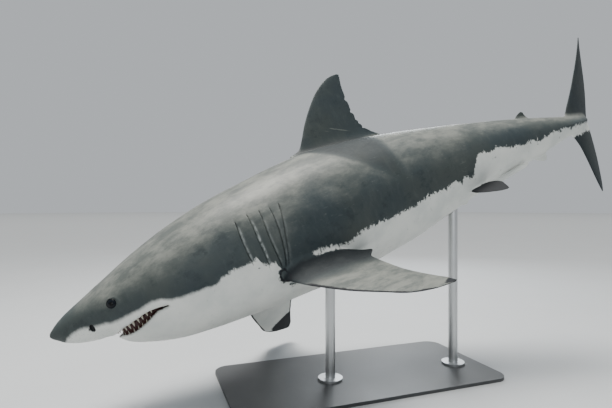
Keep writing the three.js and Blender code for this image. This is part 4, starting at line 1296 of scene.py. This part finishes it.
# A material with its shader: constants go on the shader's own sockets, methods add the nodes.
class Finish:
    def __init__(self, name, **constants):
        self.material = bpy.data.materials.new(name)
        self.material.use_nodes = True
        self.tree = self.material.node_tree
        self.shader = self.tree.nodes["Principled BSDF"]
        for socket, value in constants.items():
            self.shader.inputs[socket.replace("_", " ")].default_value = value

    def node(self, kind, settings=None, inputs=None, output=0):
        return addNode(self.tree, kind, settings or {}, inputs or {}, output)

    def attribute(self, name, output=2):
        return self.node("ShaderNodeAttribute", {"attribute_name": name}, output=output)

    def place(self):
        return self.node("ShaderNodeTexCoord", output=3)

    def noise(self, vector, scale, detail=3.0, roughness=0.55, distortion=0.0):
        inputs = {"Vector": vector, "Scale": scale, "Detail": detail, "Roughness": roughness,
                  "Distortion": distortion}
        return self.node("ShaderNodeTexNoise", {}, inputs)

    def stretched(self, vector, scale, turn=(0, 0, 0)):
        inputs = {"Vector": vector, "Scale": scale, "Rotation": turn}
        return self.node("ShaderNodeMapping", {}, inputs)

    # 0 below low, 1 above high, with a smooth slope between
    def slope(self, value, low, high):
        inputs = {"Value": value, "From Min": low, "From Max": high}
        return self.node("ShaderNodeMapRange", {"interpolation_type": "SMOOTHSTEP"}, inputs)

    def blend(self, factor, first, second):
        colours = {0: factor, 6: first, 7: second}
        return self.node("ShaderNodeMix", {"data_type": "RGBA"}, colours, 2)

    def feed(self, socket, value):
        self.tree.links.new(value.socket, self.shader.inputs[socket])

    def bump(self, height, distance, strength=1.0):
        inputs = {"Height": height, "Distance": distance, "Strength": strength}
        return self.node("ShaderNodeBump", {}, inputs)


def colour(red, green, blue):
    return (red, green, blue, 1)


skinColours = {
    "slate": colour(0.031, 0.043, 0.048),
    "olive": colour(0.047, 0.057, 0.054),
    "deep": colour(0.016, 0.024, 0.028),
    # the paler top of the back and its darker patches: partly lighter skin, partly painted sunlight
    "back": colour(0.17, 0.178, 0.162),
    "backShade": colour(0.078, 0.088, 0.084),
    # the next one is the colour of painted shade and painted shadows
    "paintedShade": colour(0.009, 0.013, 0.016),
    "fleck": colour(0.17, 0.185, 0.17),
    "belly": colour(0.68, 0.69, 0.65),
    "bellyShade": colour(0.5, 0.53, 0.51),
    "ink": colour(0.01, 0.012, 0.015),
    # the next one is painted shade on the walls of the slits, sockets and nostrils
    "groove": colour(0.012, 0.013, 0.015),
    # red lining of the mouth, darkened with painted shade
    "shadedLining": colour(0.04, 0.016, 0.015),
    "rim": colour(0.42, 0.45, 0.44),
}
skinNoise = {
    # how often it changes in a metre along x, y and z, turn, detail, roughness and distortion
    "broad": ((2.6, 2.6, 2.6), (0, 0, 0), 3, 0.55, 0),
    "scallop": ((6, 12, 12), (0, 0, 0), 4, 0.6, 0.4),
    "jagged": ((46, 46, 20), (0, 0, 0), 5, 0.75, 0.3),
    "crumb": ((70, 70, 70), (0, 0, 0), 4, 0.6, 0),
    "fine": ((260, 260, 260), (0, 0, 0), 2, 0.5, 0),
    "dots": ((38, 38, 38), (0, 0, 0), 2, 0.5, 0),
    "blotch": ((9, 14, 12), (0, 0.35, 0), 6, 0.7, 0),
    "clouds": ((7, 16, 16), (0, 0.3, 0), 6, 0.68, 0),
    "flecksAndSunDapples": ((22, 70, 70), (0, 0.4, 0), 4, 0.7, 0),
    "streaks": ((26, 12, 9), (0, 0.25, 0), 5, 0.7, 0),
    "lines": ((3, 26, 26), (0, 0.25, 0.2), 1, 0.5, 0),
    "sparse": ((5, 5, 5), (0, 0, 0), 1, 0.55, 0),
    "cream": ((6, 6, 6), (0, 0, 0), 4, 0.6, 0),
    "rimGaps": ((60, 60, 30), (0, 0, 0), 4, 0.7, 0),
}
skinLayers = {
    # values of the noise or mask between which a layer fades in, and its strength
    "olive": (0.35, 0.68, 1),
    "blotch": (0.47, 0.33, 0.5),
    "clouds": (0.36, 0.64, 1),
    "dorsal": (0.3, 0.85, 0.88),
    "high": (0.1, 0.2, 0.32),
    "flecksAndSunDapples": (0.58, 0.76, 1),
    "streaks": (0.48, 0.72, 0.08),
    "lines": (0.005, 0.001, 0.3),
    "sparse": (0.62, 0.72, 1),
    "dots": (0.7, 0.74, 0.7),
    "nearEdge": (-0.06, -0.01, 1),
    "cream": (0.35, 0.7, 0.6),
    "rimGaps": (0.36, 0.6, 0.8),
    "ink": (0.32, 0.62, 1),
    "shadedLining": (0.1, 0.8, 1),
    "snout": (0.34, 0.16, 1),
    "pore": (0.24, 0.1, 1),
}
skinEdge = {
    # metres by which each noise moves the edge of the dark back, and how soft that edge is
    "scallop": 0.05, "jagged": 0.12, "crumb": 0.04, "soft": 0.014, "sharper": 0.0115,
}
# Old scratches on the near side of the first dorsal fin: both ends in the middle plane, strength.
finScratches = [
    ((1.829, 0.506), (1.97, 0.439), 0.5),
    ((1.795, 0.496), (1.838, 0.478), 0.35),
]


# How much of a layer shows: a smooth step over its two values, times its strength.
def layer(look, name, value):
    low, high, strength = skinLayers[name]
    return look.slope(value, low, high) * strength


# Share of the dark colour: the distance above the edge, moved by noise of three sizes, with a
# smooth step across the edge, and small spots on its pale side.
def darkShare(look, noise):
    rough = look.attribute("ragged")
    moves = [(noise[name] - 0.5) * skinEdge[name] for name in ("scallop", "jagged", "crumb")]
    ragged = look.attribute("shade") + (moves[0] + moves[1] + moves[2]) * rough
    soft = skinEdge["soft"] - rough * skinEdge["sharper"]
    dots = layer(look, "dots", noise["dots"]) * layer(look, "nearEdge", ragged)
    return look.slope(ragged, 0 - soft, soft).atLeast(dots * rough)


# Colour of the dark parts: slate and olive, deep blotches, a paler clouded top of the back that is
# partly lighter skin and partly painted sunlight, pale flecks high on the back that are partly
# painted dapples of sunlight, upright streaks, and painted shade and painted shadows.
def darkColour(look, noise, paintedShade):
    broad, blotch = noise["broad"], noise["blotch"]
    tone = look.blend(layer(look, "olive", broad), skinColours["slate"], skinColours["olive"])
    tone = look.blend(layer(look, "blotch", blotch), tone, skinColours["deep"])
    # paler clouded top of the back: partly lighter skin, partly painted sunlight
    clouds = layer(look, "clouds", noise["clouds"])
    backTone = look.blend(clouds, skinColours["backShade"], skinColours["back"])
    dorsal = look.attribute("dorsal") + (broad - 0.5) * 0.4 + (blotch - 0.5) * 0.5
    tone = look.blend(layer(look, "dorsal", dorsal), tone, backTone)
    # pale flecks, strongest high on the back: partly flecks in the skin, partly painted dapples of
    # sunlight
    flecksAndSunDapples = layer(look, "flecksAndSunDapples", noise["flecksAndSunDapples"])
    flecksAndSunDapples = flecksAndSunDapples * (layer(look, "high", look.attribute("shade")) + 0.05)
    tone = look.blend(flecksAndSunDapples, tone, skinColours["fleck"])
    tone = look.blend(layer(look, "streaks", noise["streaks"]), tone, skinColours["fleck"])
    # painted shade and painted shadows over all of it
    return look.blend(paintedShade, tone, skinColours["paintedShade"])


# Scratches: straight ones on the fin, by the distance from a line between two ends, and faint ones
# anywhere, where a stretched noise passes its middle.
def scratched(look, noise, spot, tone):
    x, y, z = (look.node("ShaderNodeSeparateXYZ", {}, {"Vector": spot}, n) for n in range(3))
    for (startX, startZ), (endX, endZ), strength in finScratches:
        reach = hypot(endX - startX, endZ - startZ)
        alongX, alongZ = (endX - startX) / reach, (endZ - startZ) / reach
        along = (x - startX) * alongX + (z - startZ) * alongZ
        off = (z - startZ) * alongX - (x - startX) * alongZ + (noise["crumb"] - 0.5) * 0.008
        ends = look.slope(along, 0, 0.03) * look.slope(along, reach, reach - 0.04)
        mark = look.slope(off.size(), 0.005, 0.001) * ends * look.slope(y, 0, -0.001)
        tone = look.blend(mark * strength, tone, skinColours["fleck"])
    thin = layer(look, "lines", (noise["lines"] - 0.5).size())
    return look.blend(thin * layer(look, "sparse", noise["sparse"]), tone, skinColours["fleck"])


# The skin: pale belly and dark back, pale rims of the gill flaps that are partly a painted
# highlight, ink, painted shade in the slits and sockets, a red mouth lining darkened with painted
# shade, and pores over the snout, a cell noise cut off near its centres. Rougher where it is black
# and where shade is painted.
def skinFinish():
    look = Finish("shark_skin_look", Specular_IOR_Level=0.36, IOR=1.38)
    spot = look.attribute("straight", 1)
    noise = {
        name: look.noise(look.stretched(spot, scale, turn), 1.0, *rest)
        for name, (scale, turn, *rest) in skinNoise.items()
    }
    crumb, fine = noise["crumb"], noise["fine"]
    # painted shade and painted shadows, broken by the blotches
    paintedShade = look.attribute("paintedShade") * (0.5 + noise["blotch"])
    dark = scratched(look, noise, spot, darkColour(look, noise, paintedShade))
    cream = layer(look, "cream", noise["cream"])
    belly = look.blend(cream, skinColours["belly"], skinColours["bellyShade"])
    surface = look.blend(darkShare(look, noise), belly, dark)

    # pale rims of the gill flaps, partly paler skin and partly a painted highlight, broken into
    # patches
    rim = look.attribute("rim") * (layer(look, "rimGaps", noise["rimGaps"]) + 0.1)
    ink = layer(look, "ink", look.attribute("ink") + (crumb - 0.5) * 0.6)
    # inside of the mouth: a red lining darkened with painted shade, and smoother
    inMouth = look.attribute("shadedLining")
    onSnout = layer(look, "snout", look.node("ShaderNodeSeparateXYZ", {}, {"Vector": spot}))
    cells = look.node("ShaderNodeTexVoronoi", {}, {"Vector": spot, "Scale": 115.0})
    pores = layer(look, "pore", cells) * onSnout
    covers = {
        "rim": rim, "ink": ink, "groove": look.attribute("groove"),
        "shadedLining": layer(look, "shadedLining", inMouth), "deep": pores * 0.6,
    }
    for name, share in covers.items():
        surface = look.blend(share, surface, skinColours[name])
    look.feed("Base Color", surface)

    uneven = (crumb - 0.5) * 0.22 + (fine - 0.5) * 0.1
    look.feed("Roughness", 0.47 + uneven + paintedShade.atLeast(ink) * 0.25 - inMouth * 0.2)
    height = crumb * 0.4 + fine * 0.25 - pores * 0.35 + noise["blotch"] * 0.5
    look.feed("Normal", look.bump(height, 0.0022, 0.55))
    return look.material


skin.data.materials.append(skinFinish())
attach(skin, "root")
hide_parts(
    "head", "lower_jaw", "gill_region", "trunk_front", "trunk_rear", "tail_stem",
    "first_dorsal_fin", "second_dorsal_fin", "anal_fin", "caudal_fin_upper", "caudal_fin_lower",
    "pectoral_fin_left", "pectoral_fin_right", "pelvic_fin_left", "pelvic_fin_right",
    "clasper_left", "clasper_right",
)


# Eye: a black pupil in a very dark blue iris with fine rays, all of it glossy.
def eyeFinish():
    look = Finish("eye_look", Roughness=0.12, IOR=1.33, Specular_IOR_Level=0.35)
    fall = look.attribute("fromPupil")
    rays = look.noise(look.stretched(look.place(), (90, 90, 90)), 1.0, 2)
    iris = look.blend(rays, colour(0.0015, 0.0025, 0.004), colour(0.004, 0.007, 0.011))
    ringed = look.blend(look.slope(fall, 0.27, 0.33), colour(0.001, 0.001, 0.001), iris)
    ringed = look.blend(look.slope(fall, 0.68, 0.85), ringed, colour(0.004, 0.005, 0.006))
    look.feed("Base Color", ringed)
    return look.material


# Tooth: ivory dimmed as painted shade inside the mouth, under a thin coat, with grain along its
# length.
def toothFinish():
    look = Finish("tooth_look", Coat_Weight=0.3, Coat_Roughness=0.1, IOR=1.5)
    grain = look.noise(look.stretched(look.place(), (60, 60, 200)), 1.0, 3)
    look.feed("Base Color", look.blend(grain, colour(0.36, 0.34, 0.28), colour(0.24, 0.22, 0.17)))
    look.feed("Roughness", 0.2 + grain * 0.2)
    look.feed("Normal", look.bump(grain, 0.0004, 0.5))
    return look.material


eyeLook = eyeFinish()
for ball in eyeballs:
    ball.data.materials.append(eyeLook)
toothLook = toothFinish()
for row in toothRows:
    row.data.materials.append(toothLook)


# Painted plate: dark grey paint with a fine orange-peel bump and slightly worn, dusty patches.
def plateFinish():
    look = Finish("plate_look", Coat_Weight=0.15, Coat_Roughness=0.3)
    spot = look.place()
    peel = look.noise(spot, 240, 2)
    dust = look.noise(spot, 3.5, 6, 0.6)
    look.feed("Base Color", look.blend(look.slope(dust, 0.4, 0.75), colour(0.034, 0.036, 0.038),
                                       colour(0.055, 0.057, 0.058)))
    look.feed("Roughness", 0.42 + dust * 0.2)
    look.feed("Normal", look.bump(peel, 0.0005, 0.5))
    return look.material


# Brushed steel: fine grain running round the rod.
def rodFinish():
    look = Finish("rod_look", Metallic=1.0)
    spot = look.place()
    grain = look.noise(look.stretched(spot, (8, 8, 900)), 1.0, 2)
    smudge = look.noise(spot, 9, 3)
    look.feed("Base Color", look.blend(smudge, colour(0.5, 0.51, 0.52), colour(0.6, 0.61, 0.61)))
    look.feed("Roughness", 0.24 + grain * 0.14 + smudge * 0.08)
    look.feed("Normal", look.bump(grain, 0.0002, 0.4))
    return look.material


plateLook, rodLook = plateFinish(), rodFinish()
standLooks = {"stand_base": plateLook, "stand_rod_front": rodLook, "stand_rod_rear": rodLook}
for node, finish in standLooks.items():
    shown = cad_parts[node]
    shown.data.materials.clear()
    shown.data.materials.append(finish)
print("finishes made")


# Floor: plain matt grey, hardly uneven.
def floorFinish():
    look = Finish("floor_look", Roughness=0.75)
    look.feed("Base Color", look.blend(look.noise(look.place(), 1.5, 2), colour(0.375, 0.39, 0.405),
                                       colour(0.4, 0.415, 0.43)))
    return look.material


floorSize = {"inner": 0.5, "outer": 60, "thick": 0.1, "around": 96}


# The floor: a flat round slab, its top at height 0.
def floorDisc():
    angle = np.arange(floorSize["around"]) / floorSize["around"] * 2 * pi
    disc = np.stack([np.cos(angle), np.sin(angle), np.zeros_like(angle)], 1)
    inner, outer = disc * floorSize["inner"], disc * floorSize["outer"]
    low = (0, 0, floorSize["thick"])
    return np.stack([inner, outer, outer - low, inner - low])


floor = makeObject("floor", [loft(floorDisc())])
floor.data.materials.append(floorFinish())

world = bpy.data.worlds.new("studio")
world.use_nodes = True
world.node_tree.nodes["Background"].inputs["Color"].default_value = (0.84, 0.88, 0.92, 1)
world.node_tree.nodes["Background"].inputs["Strength"].default_value = 0.6
bpy.context.scene.world = world

lights = {  # place, target, size, power, colour
    "overhead": ((-1.6, 0.9, 6.5), (0.1, -0.1, 1.2), 2.6, 550, (1.0, 0.97, 0.92)),
    "front": ((-2.5, -6.0, 2.6), (-0.3, -0.2, 1.0), 3.0, 70, (0.9, 0.96, 1.0)),
    "rear": ((3.0, 4.5, 3.5), (0.3, 0, 1.2), 2.5, 160, (0.9, 0.96, 1.0)),
}
for name, (place, target, size, power, tint) in lights.items():
    lamp = bpy.data.lights.new(name, "AREA")
    lamp.shape = "DISK"
    lamp.size, lamp.energy, lamp.color = size, power, tint
    lampObject = bpy.data.objects.new(name, lamp)
    bpy.context.scene.collection.objects.link(lampObject)
    lampObject.location = place
    lampObject.rotation_euler = (Vector(target) - Vector(place)).to_track_quat("-Z", "Y").to_euler()

# a broad sun straight down lifts the far floor to the brightness of the world behind it
sun = bpy.data.lights.new("sun", "SUN")
sun.energy, sun.angle, sun.color = 3.0, radians(30), (1.0, 0.97, 0.9)
bpy.context.scene.collection.objects.link(bpy.data.objects.new("sun", sun))

view = {"place": (-1.288, -2.578, 1.088), "turn": 20, "focus": 26.4706, "sensor": 36}  # degrees, mm
lens = bpy.data.cameras.new("camera")
lens.sensor_width = view["sensor"]
lens.lens = view["focus"]
camera = bpy.data.objects.new("camera", lens)
bpy.context.scene.collection.objects.link(camera)
camera.location = view["place"]
camera.rotation_euler = (radians(90), 0, -radians(view["turn"]))
bpy.context.scene.camera = camera
print("floor, lights and camera set")
